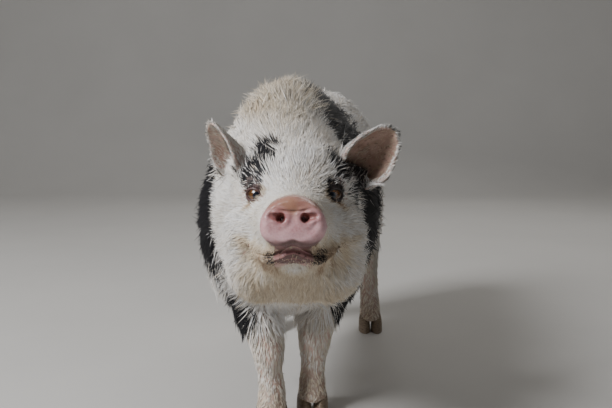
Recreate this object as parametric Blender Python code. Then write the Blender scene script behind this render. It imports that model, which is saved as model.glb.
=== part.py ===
# A domestic pig of the pot-bellied kind, life size, standing with its head raised.
# Metres, +Z up, floor at z = 0. The pig faces -Y, so its own left side is at +X.
# The flesh is modelled whole and then parted with thin cuts into its named parts.

import math
import random

import bmesh
import bpy
from mathutils import Matrix, Vector
from mathutils.bvhtree import BVHTree

# Driving sizes
SHOULDER_TOP = 0.463
BARREL_HALF_WIDTH = 0.128
BODY_SWING = 0.15
CHEST_X = -0.0325
HEAD_X = -0.0135
EYE_Y = -0.187
EYE_HEIGHT = 0.334
HEAD_PITCH = math.radians(10)
PART_GAP = 0.0004
SMALL_GAP = 0.0003

# Fineness of the flesh: edge of a voxel, and triangles kept
VOXEL = 0.005
HEAD_TRIANGLES = 1350
BODY_TRIANGLES = 1500
RING_POINTS = 28

# Finish of each kind of part: colour, roughness, metallic
FINISHES = {
    "coat": ((0.78, 0.76, 0.72, 1), 0.75, 0.0),
    "nose": ((0.78, 0.52, 0.48, 1), 0.45, 0.0),
    "ear": ((0.74, 0.58, 0.52, 1), 0.7, 0.0),
    "eye": ((0.10, 0.05, 0.02, 1), 0.1, 0.0),
    "horn": ((0.22, 0.17, 0.13, 1), 0.5, 0.0),
}

# Trunk and neck, from inside the head to the rump:
# place along Y, top, middle, bottom, half width, power of the upper curve
TRUNK = (
    (-0.150, 0.378, 0.290, 0.215, 0.055, 2.0),
    (-0.115, 0.408, 0.290, 0.190, 0.080, 2.0),
    (-0.070, 0.430, 0.285, 0.172, 0.095, 1.9),
    (-0.030, 0.445, 0.280, 0.155, 0.110, 1.75),
    (0.010, 0.456, 0.278, 0.143, 0.121, 1.65),
    (0.055, SHOULDER_TOP, 0.280, 0.133, 0.127, 1.6),
    (0.110, 0.461, 0.280, 0.126, BARREL_HALF_WIDTH, 1.65),
    (0.180, 0.452, 0.275, 0.120, 0.124, 1.75),
    (0.260, 0.446, 0.275, 0.122, 0.120, 1.85),
    (0.330, 0.448, 0.285, 0.138, 0.117, 1.95),
    (0.390, 0.450, 0.295, 0.165, 0.113, 2.0),
    (0.440, 0.437, 0.303, 0.205, 0.103, 2.0),
    (0.480, 0.408, 0.308, 0.245, 0.082, 2.0),
    (0.503, 0.372, 0.312, 0.275, 0.050, 2.0),
)
LOWER_POWER = 2.2
SHOULDER = ((0.068, 0.030, 0.245), (0.050, 0.072, 0.100))
HAM = ((0.057, 0.405, 0.285), (0.058, 0.085, 0.115))

# The head's own frame has its origin between the eyes, -Y along the muzzle and +Z up the forehead.
# Muzzle and lower jaw: place along Y, height of the middle, half width, half height
MUZZLE = (
    (0.030, -0.026, 0.070, 0.066),
    (-0.005, -0.031, 0.060, 0.053),
    (-0.035, -0.035, 0.049, 0.044),
    (-0.065, -0.036, 0.040, 0.036),
    (-0.092, -0.035, 0.033, 0.030),
)
JAW = (
    (0.060, -0.080, 0.062, 0.048),
    (0.020, -0.080, 0.058, 0.042),
    (-0.020, -0.077, 0.046, 0.032),
    (-0.055, -0.071, 0.033, 0.022),
    (-0.079, -0.067, 0.021, 0.012),
)
# Rounded masses of the head, one side: place and radii
CRANIUM = ((0.0, 0.055, 0.000), (0.074, 0.085, 0.068))
CHEEK = ((0.040, 0.036, -0.045), (0.044, 0.060, 0.046))
JOWL = ((0.039, 0.045, -0.077), (0.044, 0.054, 0.050))
BROW = ((0.045, 0.012, 0.019), (0.023, 0.020, 0.013))

# The snout's disc: place along Y, height of the middle, half width, rise, drop
DISC = (
    (-0.086, -0.037, 0.0320, 0.0300, 0.0230),
    (-0.096, -0.038, 0.0360, 0.0320, 0.0240),
    (-0.105, -0.038, 0.0365, 0.0320, 0.0235),
    (-0.1105, -0.038, 0.0335, 0.0285, 0.0205),
    (-0.1120, -0.038, 0.0260, 0.0215, 0.0150),
)
NOSTRIL_PLACE = (0.0158, -0.1120, -0.0275)
NOSTRIL_RADII = (0.0062, 0.0150, 0.0048)
NOSTRIL_TURN = math.radians(32)

EYE_PLACE = (0.0435, 0.0015, 0.0000)
EYE_RADIUS = 0.0112
GAZE = (0.46, -0.88, 0.04)
LID_OPENING = (0.98, 0.62)
LID_THICKNESS = 0.0026
HOLLOW_AHEAD = 0.0190
HOLLOW_RADII = (0.0165, 0.0120, 0.0125)

# The line of the mouth, one side, in the head's frame from the middle to the corner
MOUTH = (
    (0.000, -0.0865, -0.0600),
    (0.009, -0.0850, -0.0635),
    (0.020, -0.0780, -0.0680),
    (0.033, -0.064, -0.0690),
    (0.047, -0.040, -0.0640),
    (0.060, -0.020, -0.0570),
)
MOUTH_GROOVE = 0.0022
LIP = 0.0050
SNOUT_CUT = -0.0925

# Ears: root and tip in the world, way that the cup faces, half width, length of the cupped base
EARS = {
    "left": ((0.058, -0.100, 0.354), (0.106, -0.126, 0.412), (0.15, -0.97, -0.15), 0.033),
    "right": ((-0.079, -0.098, 0.352), (-0.115, -0.112, 0.420), (-0.85, -0.50, 0.10), 0.029),
}
EAR_THICKNESS = 0.0048

# Feet: place on the floor
FEET = {
    "foreleg_left": (0.009, 0.000),
    "foreleg_right": (-0.047, -0.050),
    "hindleg_left": (0.124, 0.430),
    "hindleg_right": (-0.066, 0.425),
}
SHOULDER_SPREAD = 0.074
HIP_SPREAD = 0.068
# Legs: height, share of the way from over the foot to under the joint, place along Y, half width, half depth
FORELEG = (
    (0.300, 1.00, 0.035, 0.036, 0.066),
    (0.235, 0.80, 0.030, 0.040, 0.058),
    (0.180, 0.52, 0.022, 0.037, 0.046),
    (0.140, 0.28, 0.012, 0.0300, 0.034),
    (0.104, 0.10, 0.002, 0.0235, 0.0262),
    (0.078, 0.06, 0.000, 0.0182, 0.0205),
    (0.058, 0.00, 0.000, 0.0178, 0.0200),
    (0.043, 0.00, -0.003, 0.0198, 0.0225),
    (0.0240, 0.00, -0.010, 0.0212, 0.0250),
)
HINDLEG = (
    (0.330, 1.00, -0.015, 0.045, 0.080),
    (0.260, 1.00, -0.020, 0.046, 0.078),
    (0.205, 0.75, -0.018, 0.040, 0.060),
    (0.165, 0.50, 0.002, 0.030, 0.042),
    (0.130, 0.30, 0.020, 0.0220, 0.0310),
    (0.105, 0.15, 0.024, 0.0190, 0.0250),
    (0.075, 0.05, 0.016, 0.0178, 0.0210),
    (0.048, 0.00, 0.004, 0.0195, 0.0220),
    (0.0240, 0.00, -0.008, 0.0208, 0.0245),
)
# One claw: height, shift forward, half width, half depth
CLAW = (
    (0.034, 0.004, 0.0088, 0.0165),
    (0.020, 0.008, 0.0110, 0.0205),
    (0.000, 0.014, 0.0112, 0.0250),
)
CLAW_SPREAD = 0.0112
CLEFT = 0.0016
HOOF_TOP = 0.0262
DEWCLAW_LENGTH = 0.021

# Tail: points of its middle line and radii
TAIL = (
    ((0.040, 0.480, 0.385), 0.0130),
    ((0.044, 0.512, 0.382), 0.0115),
    ((0.047, 0.532, 0.352), 0.0095),
    ((0.045, 0.538, 0.315), 0.0080),
    ((0.040, 0.535, 0.280), 0.0068),
    ((0.036, 0.533, 0.245), 0.0055),
)

# The coat's locks by zone: spacing of the roots, length, half width, thickness, lift of the tip
LOCKS = {
    "crest": (0.0350, 0.066, 0.0118, 0.0050, 0.0145),
    "flank": (0.0620, 0.112, 0.0235, 0.0064, 0.0095),
    "belly": (0.0780, 0.090, 0.0210, 0.0055, 0.0060),
    "chest": (0.0430, 0.068, 0.0150, 0.0050, 0.0090),
    "forehead": (0.0285, 0.046, 0.0105, 0.0042, 0.0060),
    "jowl": (0.0345, 0.057, 0.0130, 0.0046, 0.0095),
}
LOCK_ROOT = 0.0090
LOCK_TRIES = 12000
TAIL_LOCKS = 5
COATED = ["head", "neck", "forequarters", "barrel", "hindquarters"]

# Cuts between parts of the body: place along Y at the middle height, lean along Y per metre of height
NECK_CUT = (-0.083, 0.25)
CHEST_CUT = (-0.028, 0.10)
BARREL_CUT = (0.105, 0.0)
HIND_CUT = (0.320, 0.0)
CUT_MIDDLE = 0.300
FORELEG_CUT = 0.122
HINDLEG_CUT = 0.150


def clear_scene():
    for thing in list(bpy.data.objects):
        bpy.data.objects.remove(thing)


def finish(name):
    found = bpy.data.materials.get(name)
    if found:
        return found
    colour, roughness, metallic = FINISHES[name]
    made = bpy.data.materials.new(name)
    made.use_nodes = True
    shader = made.node_tree.nodes["Principled BSDF"]
    shader.inputs["Base Color"].default_value = colour
    shader.inputs["Roughness"].default_value = roughness
    shader.inputs["Metallic"].default_value = metallic
    return made


def add_object(name, bm):
    mesh = bpy.data.meshes.new(name)
    bmesh.ops.recalc_face_normals(bm, faces=bm.faces)
    bm.to_mesh(mesh)
    bm.free()
    made = bpy.data.objects.new(name, mesh)
    bpy.context.scene.collection.objects.link(made)
    return made


def spine_x(y):
    """The body swings to its left towards the tail, and the neck comes back to the head."""
    if y > 0:
        return CHEST_X + BODY_SWING * y
    return CHEST_X + (HEAD_X - CHEST_X) * min(1.0, (y / 0.15) ** 2)


def head_frame():
    place = Vector((HEAD_X, EYE_Y, EYE_HEIGHT))
    return Matrix.Translation(place) @ Matrix.Rotation(-HEAD_PITCH, 4, "X")


def ring(centre, across, up, half_width, rise, drop, upper_power=2.0, lower_power=2.0, count=RING_POINTS):
    """A closed curve round the centre, a circle's formula with its own power above and below."""
    points = []
    for step in range(count):
        angle = 2 * math.pi * step / count
        c, s = math.cos(angle), math.sin(angle)
        power = upper_power if s >= 0 else lower_power
        reach = rise if s >= 0 else drop
        wide = math.copysign(abs(c) ** (2 / power), c) * half_width
        high = math.copysign(abs(s) ** (2 / power), s) * reach
        points.append(Vector(centre) + Vector(across) * wide + Vector(up) * high)
    return points


def loft(rings):
    """Skins a row of rings with faces, and closes both ends."""
    bm = bmesh.new()
    rows = [[bm.verts.new(p) for p in points] for points in rings]
    for low, high in zip(rows, rows[1:]):
        for i in range(len(low)):
            j = (i + 1) % len(low)
            bm.faces.new((low[i], low[j], high[j], high[i]))
    bm.faces.new(rows[0][::-1])
    bm.faces.new(rows[-1])
    bmesh.ops.recalc_face_normals(bm, faces=bm.faces)
    return bm


def ellipsoid(centre, radii, turn=None, segments=20, rows=12):
    bm = bmesh.new()
    bmesh.ops.create_uvsphere(bm, u_segments=segments, v_segments=rows, radius=1.0)
    shape = Matrix.Translation(Vector(centre)) @ (turn or Matrix()) @ Matrix.Diagonal((*radii, 1.0))
    bmesh.ops.transform(bm, matrix=shape, verts=bm.verts)
    return bm


def tube(path, radii, count=8):
    """A tube along a path, with its rings square to the path."""
    rings = []
    path = [Vector(p) for p in path]
    for i, p in enumerate(path):
        along = (path[min(i + 1, len(path) - 1)] - path[max(i - 1, 0)]).normalized()
        across = along.cross(Vector((0, 0, 1)))
        if across.length < 0.2:
            across = along.cross(Vector((0, 1, 0)))
        across.normalize()
        up = across.cross(along)
        rings.append(ring(p, across, up, radii[i], radii[i], radii[i], count=count))
    return loft(rings)


def mirrored(place, side):
    return (place[0] * side, place[1], place[2])


def trunk_form():
    rings = []
    for y, top, middle, bottom, half_width, power in TRUNK:
        centre = (spine_x(y), y, middle)
        rings.append(
            ring(centre, (1, 0, 0), (0, 0, 1), half_width, top - middle, middle - bottom, power, LOWER_POWER)
        )
    return loft(rings)


def head_loft(rows):
    return loft([ring((0, y, z), (1, 0, 0), (0, 0, 1), wide, high, high) for y, z, wide, high in rows])


def disc_form():
    rows = [
        ring((0, y, z), (1, 0, 0), (0, 0, 1), wide, rise, drop, 1.75, 2.5, 20)
        for y, z, wide, rise, drop in DISC
    ]
    return loft(rows)


def head_forms():
    """The masses of the head, in its own frame."""
    forms = [head_loft(MUZZLE), head_loft(JAW), ellipsoid(*CRANIUM)]
    for side in (-1, 1):
        for place, radii in (CHEEK, JOWL, BROW):
            forms.append(ellipsoid(mirrored(place, side), radii))
        lip = [Vector(mirrored(p, side)) for p in MOUTH]
        for shift in (0.0045, -0.0060):
            forms.append(tube([p + Vector((0, 0, shift)) for p in lip], [LIP] * len(lip), 10))
    return forms


def leg_form(name):
    foot_x, foot_y = FEET[name]
    side = 1 if name.endswith("left") else -1
    fore = name.startswith("fore")
    rows = FORELEG if fore else HINDLEG
    joint_x = spine_x(foot_y) + side * (SHOULDER_SPREAD if fore else HIP_SPREAD)
    rings = []
    for z, share, dy, wide, deep in rows:
        hip_y = 0.0 if fore else 0.43
        centre = (foot_x + (joint_x - foot_x) * share, foot_y + (hip_y - foot_y) * share + dy, z)
        rings.append(ring(centre, (1, 0, 0), (0, 1, 0), wide, deep, deep))
    return loft(rings)


def muscle_form(place, radii, side):
    x, y, z = place
    return ellipsoid((spine_x(y) + side * x, y, z), radii)


def joined(name, forms):
    """Several closed shapes in one object, still overlapping."""
    whole = bmesh.new()
    for form in forms:
        mesh = bpy.data.meshes.new("form")
        form.to_mesh(mesh)
        form.free()
        whole.from_mesh(mesh)
        bpy.data.meshes.remove(mesh)
    mesh = bpy.data.meshes.new(name)
    whole.to_mesh(mesh)
    whole.free()
    made = bpy.data.objects.new(name, mesh)
    bpy.context.scene.collection.objects.link(made)
    return made


def applied(thing):
    """Takes the object's mesh as its modifiers leave it."""
    bpy.context.view_layer.update()
    graph = bpy.context.evaluated_depsgraph_get()
    mesh = bpy.data.meshes.new_from_object(thing.evaluated_get(graph))
    thing.modifiers.clear()
    old = thing.data
    thing.data = mesh
    bpy.data.meshes.remove(old)
    return thing


def fused(thing, voxel, rounds):
    """One closed skin over overlapping shapes, with the creases between them softened."""
    remesh = thing.modifiers.new("fuse", "REMESH")
    remesh.mode = "VOXEL"
    remesh.voxel_size = voxel
    applied(thing)
    soft = thing.vertex_groups.new(name="soft")
    for v in thing.data.vertices:
        legs = min(1.0, max(0.15, (v.co.z - 0.10) / 0.08))
        nose = min(1.0, max(0.15, (v.co.y + 0.270) / 0.06))
        soft.add([v.index], min(legs, nose), "REPLACE")
    smooth = thing.modifiers.new("soften", "SMOOTH")
    smooth.factor = 0.5
    smooth.iterations = rounds
    smooth.vertex_group = "soft"
    return applied(thing)


def thinned(thing, triangles):
    """Fewer triangles, spent where the surface bends."""
    count = sum(len(p.vertices) - 2 for p in thing.data.polygons)
    reduce = thing.modifiers.new("reduce", "DECIMATE")
    reduce.ratio = min(1.0, triangles / count)
    reduce.use_collapse_triangulate = True
    return applied(thing)


def combined(thing, forms, operation):
    """One Boolean on a collection of closed shapes, applied, and the shapes removed."""
    if not forms:
        return thing
    group = bpy.data.collections.new("pieces")
    bpy.context.scene.collection.children.link(group)
    pieces = []
    for form in forms:
        mesh = bpy.data.meshes.new("piece")
        bmesh.ops.recalc_face_normals(form, faces=form.faces)
        form.to_mesh(mesh)
        form.free()
        piece = bpy.data.objects.new("piece", mesh)
        group.objects.link(piece)
        pieces.append(piece)
    cut = thing.modifiers.new("combine", "BOOLEAN")
    cut.operation = operation
    cut.operand_type = "COLLECTION"
    cut.collection = group
    cut.solver = "MANIFOLD"
    applied(thing)
    for piece in pieces:
        bpy.data.objects.remove(piece)
    bpy.data.collections.remove(group)
    return thing


def box(centre, across, up, sizes):
    """A box with its thickness along the cross of its two ways."""
    across, up = Vector(across).normalized(), Vector(up).normalized()
    thick = across.cross(up)
    bm = bmesh.new()
    bmesh.ops.create_cube(bm, size=1.0)
    turn = Matrix((across * sizes[0], up * sizes[1], thick * sizes[2])).transposed().to_4x4()
    bmesh.ops.transform(bm, matrix=Matrix.Translation(Vector(centre)) @ turn, verts=bm.verts)
    return bm


def cross_cut(cut):
    """A thin slab across the body, down to the cuts of the forelegs."""
    y, lean = cut
    up = Vector((0, lean, 1)).normalized()
    centre = Vector((spine_x(y), y, CUT_MIDDLE)) + up * 0.061
    return box(centre, (1, 0, 0), up, (0.5, (CUT_MIDDLE - FORELEG_CUT + 0.061) * 2 / up.z, PART_GAP))


def side_of_cut(cut, behind, spare=0.0):
    """A block with one face near a cross cut, that takes away all on that side of it."""
    y, lean = cut
    up = Vector((0, lean, 1)).normalized()
    through = Vector((1, 0, 0)).cross(up)
    depth = 0.8
    away = -through if behind else through
    centre = Vector((spine_x(y), y, CUT_MIDDLE)) + away * (spare + (depth - PART_GAP) / 2)
    return box(centre, (1, 0, 0), up, (0.9, 0.9, depth))


def ear_form(name):
    """A leaf rolled into a cup at its base and opening towards its tip."""
    root, tip, facing, half_width = EARS[name]
    root, tip = Vector(root), Vector(tip)
    axis = tip - root
    length = axis.length
    axis.normalize()
    facing = Vector(facing)
    facing = (facing - axis * facing.dot(axis)).normalized()
    across = axis.cross(facing)
    rows, columns = 7, 7
    bm = bmesh.new()
    grid = []
    for i in range(rows + 1):
        u = i / rows
        wide = half_width * (0.72 + 0.28 * min(1.0, u / 0.4)) * max(0.12, (1 - u**2.8)) ** 0.5
        bend = math.radians(128 - 88 * u)
        radius = wide if bend > math.pi / 2 else wide / math.sin(bend)
        middle = root + axis * length * u + facing * (0.010 * u * u - 0.012 * (1 - u))
        row = []
        for j in range(columns + 1):
            angle = bend * (2 * j / columns - 1)
            place = across * radius * math.sin(angle) + facing * radius * (1 - math.cos(angle))
            row.append(bm.verts.new(middle + place))
        grid.append(row)
    for low, high in zip(grid, grid[1:]):
        for j in range(columns):
            bm.faces.new((low[j], low[j + 1], high[j + 1], high[j]))
    bmesh.ops.triangulate(bm, faces=bm.faces)
    sheet = add_object("ear_sheet", bm)
    thick = sheet.modifiers.new("thick", "SOLIDIFY")
    thick.thickness = EAR_THICKNESS
    thick.offset = 0.0
    applied(sheet)
    solid = bmesh.new()
    solid.from_mesh(sheet.data)
    bpy.data.objects.remove(sheet)
    return solid


def grown(thing, gap):
    """The shape of an object, moved out along its normals, to cut others clear of it."""
    bm = bmesh.new()
    bm.from_mesh(thing.data)
    bm.normal_update()
    shifts = [v.normal * gap for v in bm.verts]
    for v, shift in zip(bm.verts, shifts):
        v.co += shift
    return bm


def ear_part(name, others):
    """An ear that ends on the surface of the head and the neck."""
    thing = add_object("ear_" + name, ear_form(name))
    combined(thing, [grown(other, PART_GAP) for other in others], "DIFFERENCE")
    return thing


def eye_turn(side):
    """Turns -Y to the way that the eye looks."""
    way = Vector(mirrored(GAZE, side)).normalized()
    return way.to_track_quat("-Y", "Z").to_matrix().to_4x4()


def hollow_form(side):
    """The shallow dish in which an eye and its lids lie."""
    place = Matrix.Translation(Vector(mirrored(EYE_PLACE, side))) @ eye_turn(side)
    dish = ellipsoid((0, -HOLLOW_AHEAD, 0), HOLLOW_RADII, None, 16, 10)
    return in_world([dish], place)[0]


def lid_form(side):
    """A rim round the opening of the eye, lying on the ball."""
    place = Matrix.Translation(Vector(mirrored(EYE_PLACE, side))) @ eye_turn(side)
    count, around = 14, 5
    bm = bmesh.new()
    rows = []
    for i in range(count):
        angle = 2 * math.pi * i / count
        out = Vector((LID_OPENING[0] * math.cos(angle), 0, LID_OPENING[1] * math.sin(angle)))
        way = (out + Vector((0, -1, 0))).normalized()
        aside = (out.normalized() - way * out.normalized().dot(way)).normalized()
        row = []
        for k in range(around):
            t = 2 * math.pi * k / around
            lift = EYE_RADIUS + 0.0008 + LID_THICKNESS * math.cos(t)
            row.append(bm.verts.new(place @ (way * lift + aside * LID_THICKNESS * math.sin(t))))
        rows.append(row)
    for i in range(count):
        low, high = rows[i], rows[(i + 1) % count]
        for k in range(around):
            m = (k + 1) % around
            bm.faces.new((low[k], low[m], high[m], high[k]))
    return bm


def nostril_form(side):
    turn = Matrix.Rotation(-side * NOSTRIL_TURN, 4, "Y")
    return ellipsoid(mirrored(NOSTRIL_PLACE, side), NOSTRIL_RADII, turn, 12, 6)


def mouth_form(surface):
    """A groove along the line of the mouth, laid on the surface of the head."""
    corners = [Vector(mirrored(p, -1)) for p in reversed(MOUTH[1:])] + [Vector(p) for p in MOUTH]
    path = []
    frame = head_frame()
    for a, b in zip(corners, corners[1:]):
        path.append(surface.find_nearest(frame @ a)[0])
    path.append(surface.find_nearest(frame @ corners[-1])[0])
    ends = len(path) - 1
    radii = [MOUTH_GROOVE * (0.35 + 0.65 * min(1.0, min(i, ends - i) / 2)) for i in range(len(path))]
    return tube(path, radii, 6)


def claw_form(foot, side):
    """One claw of a foot, up to the middle of the foot, where the cleft is cut."""
    rings = []
    for z, shift, wide, deep in CLAW:
        centre = (foot[0] + side * CLAW_SPREAD, foot[1] - shift, z)
        points = ring(centre, (1, 0, 0), (0, 1, 0), wide, deep, deep, 2.0, 1.7, 8)
        for p in points:
            if (p.x - foot[0]) * side < 0:
                p.x = foot[0]
        rings.append(points)
    return loft(rings)


def dewclaw_line(foot, side, back):
    root = Vector((foot[0] + side * 0.0095, foot[1] + back - 0.006, 0.0490))
    way = Vector((side * 0.22, 0.55, -0.80)).normalized()
    return root, way


def dewclaw_form(foot, side, back):
    root, way = dewclaw_line(foot, side, back)
    shares = ((0.0, 0.0062), (0.55, 0.0060), (0.85, 0.0046), (1.0, 0.0022))
    return tube([root + way * DEWCLAW_LENGTH * s for s, r in shares], [r for s, r in shares], 8)


def dewclaw_cut(foot, side, back):
    root, way = dewclaw_line(foot, side, back)
    across = way.cross(Vector((0, 0, 1))).normalized()
    return box(root + way * DEWCLAW_LENGTH * 0.58, across, across.cross(way), (0.0175, 0.016, PART_GAP))


def leg_x(name, height):
    """Where the middle of a leg lies at a height."""
    rows = FORELEG if name.startswith("fore") else HINDLEG
    side = 1 if name.endswith("left") else -1
    foot_x, foot_y = FEET[name]
    joint_x = spine_x(foot_y) + side * (SHOULDER_SPREAD if name.startswith("fore") else HIP_SPREAD)
    for high, low in zip(rows, rows[1:]):
        if low[0] <= height:
            part = (height - low[0]) / (high[0] - low[0])
            return foot_x + (joint_x - foot_x) * (low[1] + (high[1] - low[1]) * part)
    return foot_x


def leg_cuts(name):
    """The cut at the top of a leg, the one over its hoof and the cleft between its claws."""
    foot = FEET[name]
    height = FORELEG_CUT if name.startswith("fore") else HINDLEG_CUT
    top = box((leg_x(name, height), foot[1] + 0.012, height), (1, 0, 0), (0, 1, 0), (0.082, 0.13, PART_GAP))
    hoof = box((foot[0], foot[1], HOOF_TOP), (1, 0, 0), (0, 1, 0), (0.09, 0.11, PART_GAP))
    cleft = box((foot[0], foot[1], 0.009), (0, 1, 0), (0, 0, 1), (0.11, 0.038, 2 * CLEFT))
    return [top, hoof, cleft]


def tail_form():
    return tube([p for p, r in TAIL], [r for p, r in TAIL], 10)


def back_of(name):
    return 0.019 if name.startswith("fore") else 0.024


def floor_cut():
    return box((0, 0.1, -0.05), (1, 0, 0), (0, 1, 0), (2, 2, 0.1))


def in_world(forms, frame):
    for form in forms:
        bmesh.ops.transform(form, matrix=frame, verts=form.verts)
    return forms


def flesh():
    frame = head_frame()
    forms = [trunk_form()] + in_world(head_forms(), frame)
    for side in (-1, 1):
        forms.append(muscle_form(*SHOULDER, side))
        forms.append(muscle_form(*HAM, side))
    forms += [leg_form(name) for name in FEET]
    return fused(joined("flesh", forms), VOXEL, 14)


def copy_of(thing, name):
    made = bpy.data.objects.new(name, thing.data.copy())
    bpy.context.scene.collection.objects.link(made)
    return made


def surface_of(thing):
    bm = bmesh.new()
    bm.from_mesh(thing.data)
    tree = BVHTree.FromBMesh(bm)
    bm.free()
    return tree


def loose_parts(thing):
    """The separate closed surfaces of an object, each as an object of its own, largest first."""
    bpy.ops.object.select_all(action="DESELECT")
    thing.select_set(True)
    bpy.context.view_layer.objects.active = thing
    before = set(bpy.data.objects)
    bpy.ops.object.mode_set(mode="EDIT")
    bpy.ops.mesh.select_all(action="SELECT")
    bpy.ops.mesh.separate(type="LOOSE")
    bpy.ops.object.mode_set(mode="OBJECT")
    parts = [thing] + [o for o in bpy.data.objects if o not in before]
    return sorted(parts, key=lambda o: -len(o.data.polygons))


def box_of(thing):
    """The lowest and the highest corner of an object's box."""
    places = [v.co for v in thing.data.vertices]
    low = Vector([min(p[i] for p in places) for i in range(3)])
    high = Vector([max(p[i] for p in places) for i in range(3)])
    return low, high


def middle_of(thing):
    low, high = box_of(thing)
    return (low + high) / 2


def behind_cut(p, cut):
    """How far a place lies behind a cross cut, along the body."""
    y, lean = cut
    return p.y - y - lean * (p.z - CUT_MIDDLE)


def zone_of(p, normal, local):
    """Which kind of coat grows at a place, and which way it lies; nothing where the fur is short."""
    if behind_cut(p, NECK_CUT) < 0:
        return head_zone(p, local)
    side = p.x - spine_x(p.y)
    if p.z < 0.165 and (p.y < 0.09 or p.y > 0.36):
        return None
    if p.y > 0.33 and p.z < 0.22 and abs(side) < 0.05:
        return None
    if p.z > 0.415 and abs(side) < 0.075 and p.y < 0.30:
        return "crest", Vector((0.25 * side / 0.07, 1.0, 0.15))
    if p.y < 0.02 and p.z < 0.24:
        return "chest", Vector((0.3 * side / 0.07, 0.35, -0.9))
    if p.y > 0.44:
        return "flank", Vector((0.0, 0.5, -0.9))
    if normal.z < -0.6:
        return "belly", Vector((0.2 * side / 0.1, 1.0, 0.0))
    return "flank", Vector((0.0, 1.0, -0.45 * min(1.0, abs(side) / 0.1)))


def head_zone(p, local):
    """The hair of the head fans out from the snout, and is long on the forehead and the jowls."""
    way = local - Vector((0.0, -0.080, -0.030))
    way.y = max(way.y * 0.6, 0.02)
    ahead = local + way.normalized() * 0.018
    eyes = [Vector(mirrored(EYE_PLACE, side)) for side in (-1, 1)]
    eye = min(min((local - e).length, (ahead - e).length) for e in eyes)
    ear = min((p - Vector(root)).length for root, tip, facing, half_width in EARS.values())
    mouth = min((local - Vector(mirrored(m, side))).length for m in MOUTH for side in (-1, 1))
    if eye < 0.027 or ear < 0.030 or mouth < 0.020 or local.y < -0.030:
        return None
    if local.z < -0.070 and local.y < -0.005:
        return None
    if local.z > 0.010:
        way += Vector((0, 0.02, 0.02))
        return "forehead", head_frame().to_3x3() @ way
    way += Vector((0.0, 0.02, -0.02 if local.z < -0.04 else 0.0))
    return "jowl", head_frame().to_3x3() @ way


def random_points(thing, chance, count):
    """Places spread evenly by area over a surface, with their normals."""
    mesh = thing.data
    mesh.calc_loop_triangles()
    triangles = [[mesh.vertices[i].co for i in t.vertices] for t in mesh.loop_triangles]
    areas = [t.area for t in mesh.loop_triangles]
    normals = [Vector(t.normal) for t in mesh.loop_triangles]
    for k in chance.choices(range(len(triangles)), weights=areas, k=count):
        a, b, c = triangles[k]
        u, v = chance.random(), chance.random()
        if u + v > 1:
            u, v = 1 - u, 1 - v
        yield a + (b - a) * u + (c - a) * v, normals[k]


def pointed(rings, tip):
    """Skins a row of rings and draws the last one to a point."""
    bm = bmesh.new()
    rows = [[bm.verts.new(p) for p in points] for points in rings]
    end = bm.verts.new(tip)
    for low, high in zip(rows, rows[1:]):
        for i in range(len(low)):
            j = (i + 1) % len(low)
            bm.faces.new((low[i], low[j], high[j], high[i]))
    bm.faces.new(rows[0][::-1])
    last = rows[-1]
    for i in range(len(last)):
        bm.faces.new((last[i], last[(i + 1) % len(last)], end))
    bmesh.ops.triangulate(bm, faces=bm.faces)
    bmesh.ops.recalc_face_normals(bm, faces=bm.faces)
    return bm


def lock_form(p, normal, way, zone, skin, chance):
    """A flat pointed lock that rises from inside the flesh and then lies along it."""
    spacing, length, half_width, thickness, lift = LOCKS[zone]
    length *= chance.uniform(0.88, 1.12)
    half_width *= chance.uniform(0.88, 1.12)
    lift *= chance.uniform(0.8, 1.2)
    along = way.normalized()
    along = (along - normal * along.dot(normal)).normalized()
    along = (along + normal.cross(along) * chance.uniform(-0.14, 0.14)).normalized()
    across = normal.cross(along)
    curl = chance.uniform(-0.14, 0.14) * length
    path = []
    outs = []
    rises = ((-0.10, -LOCK_ROOT, 0), (0.26, -0.0006, 0), (0.62, 0.50 * lift, 0.3), (1.0, lift, 1.0))
    for share, height, aside in rises:
        near, out = skin.find_nearest(p + along * length * share + across * curl * aside)[:2]
        path.append(near + out * height)
        outs.append(out)
    rings = []
    for i, wide, high in ((0, 0.36, 0.5), (1, 0.94, 0.75), (2, 0.88, 0.75)):
        ahead = (path[i + 1] - path[max(i - 1, 0)]).normalized()
        turn = ahead.cross(outs[i]).normalized() * half_width * wide
        ridge = turn.cross(ahead).normalized() * thickness * high
        if ridge.dot(outs[i]) < 0:
            ridge.negate()
        rings.append([path[i] + turn, path[i] + ridge, path[i] - turn])
    return pointed(rings, path[3])


def near_cut(p, normal):
    """Whether a place lies on or close to a flat face left by a cut."""
    for cut in (NECK_CUT, CHEST_CUT, BARREL_CUT, HIND_CUT):
        if abs(behind_cut(p, cut)) < 0.003:
            return True
    return p.z < max(FORELEG_CUT, HINDLEG_CUT) + 0.004 and normal.z < -0.98


def coat_locks(parts, skin):
    """Locks rooted all over the coat, by the name of the part they grow from."""
    inverse = head_frame().inverted()
    locks = {}
    kept = []
    for order, name in enumerate(COATED):
        chance = random.Random(11 + order)
        locks[name] = []
        for p, normal in random_points(parts[name], chance, LOCK_TRIES):
            zone = None if near_cut(p, normal) else zone_of(p, normal, inverse @ p)
            if not zone:
                continue
            spacing = LOCKS[zone[0]][0]
            if any((p - q).length < (spacing + other) / 2 for q, other in kept):
                continue
            kept.append((p, spacing))
            locks[name].append(lock_form(p, normal, zone[1], zone[0], skin, chance))
    return locks


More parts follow.
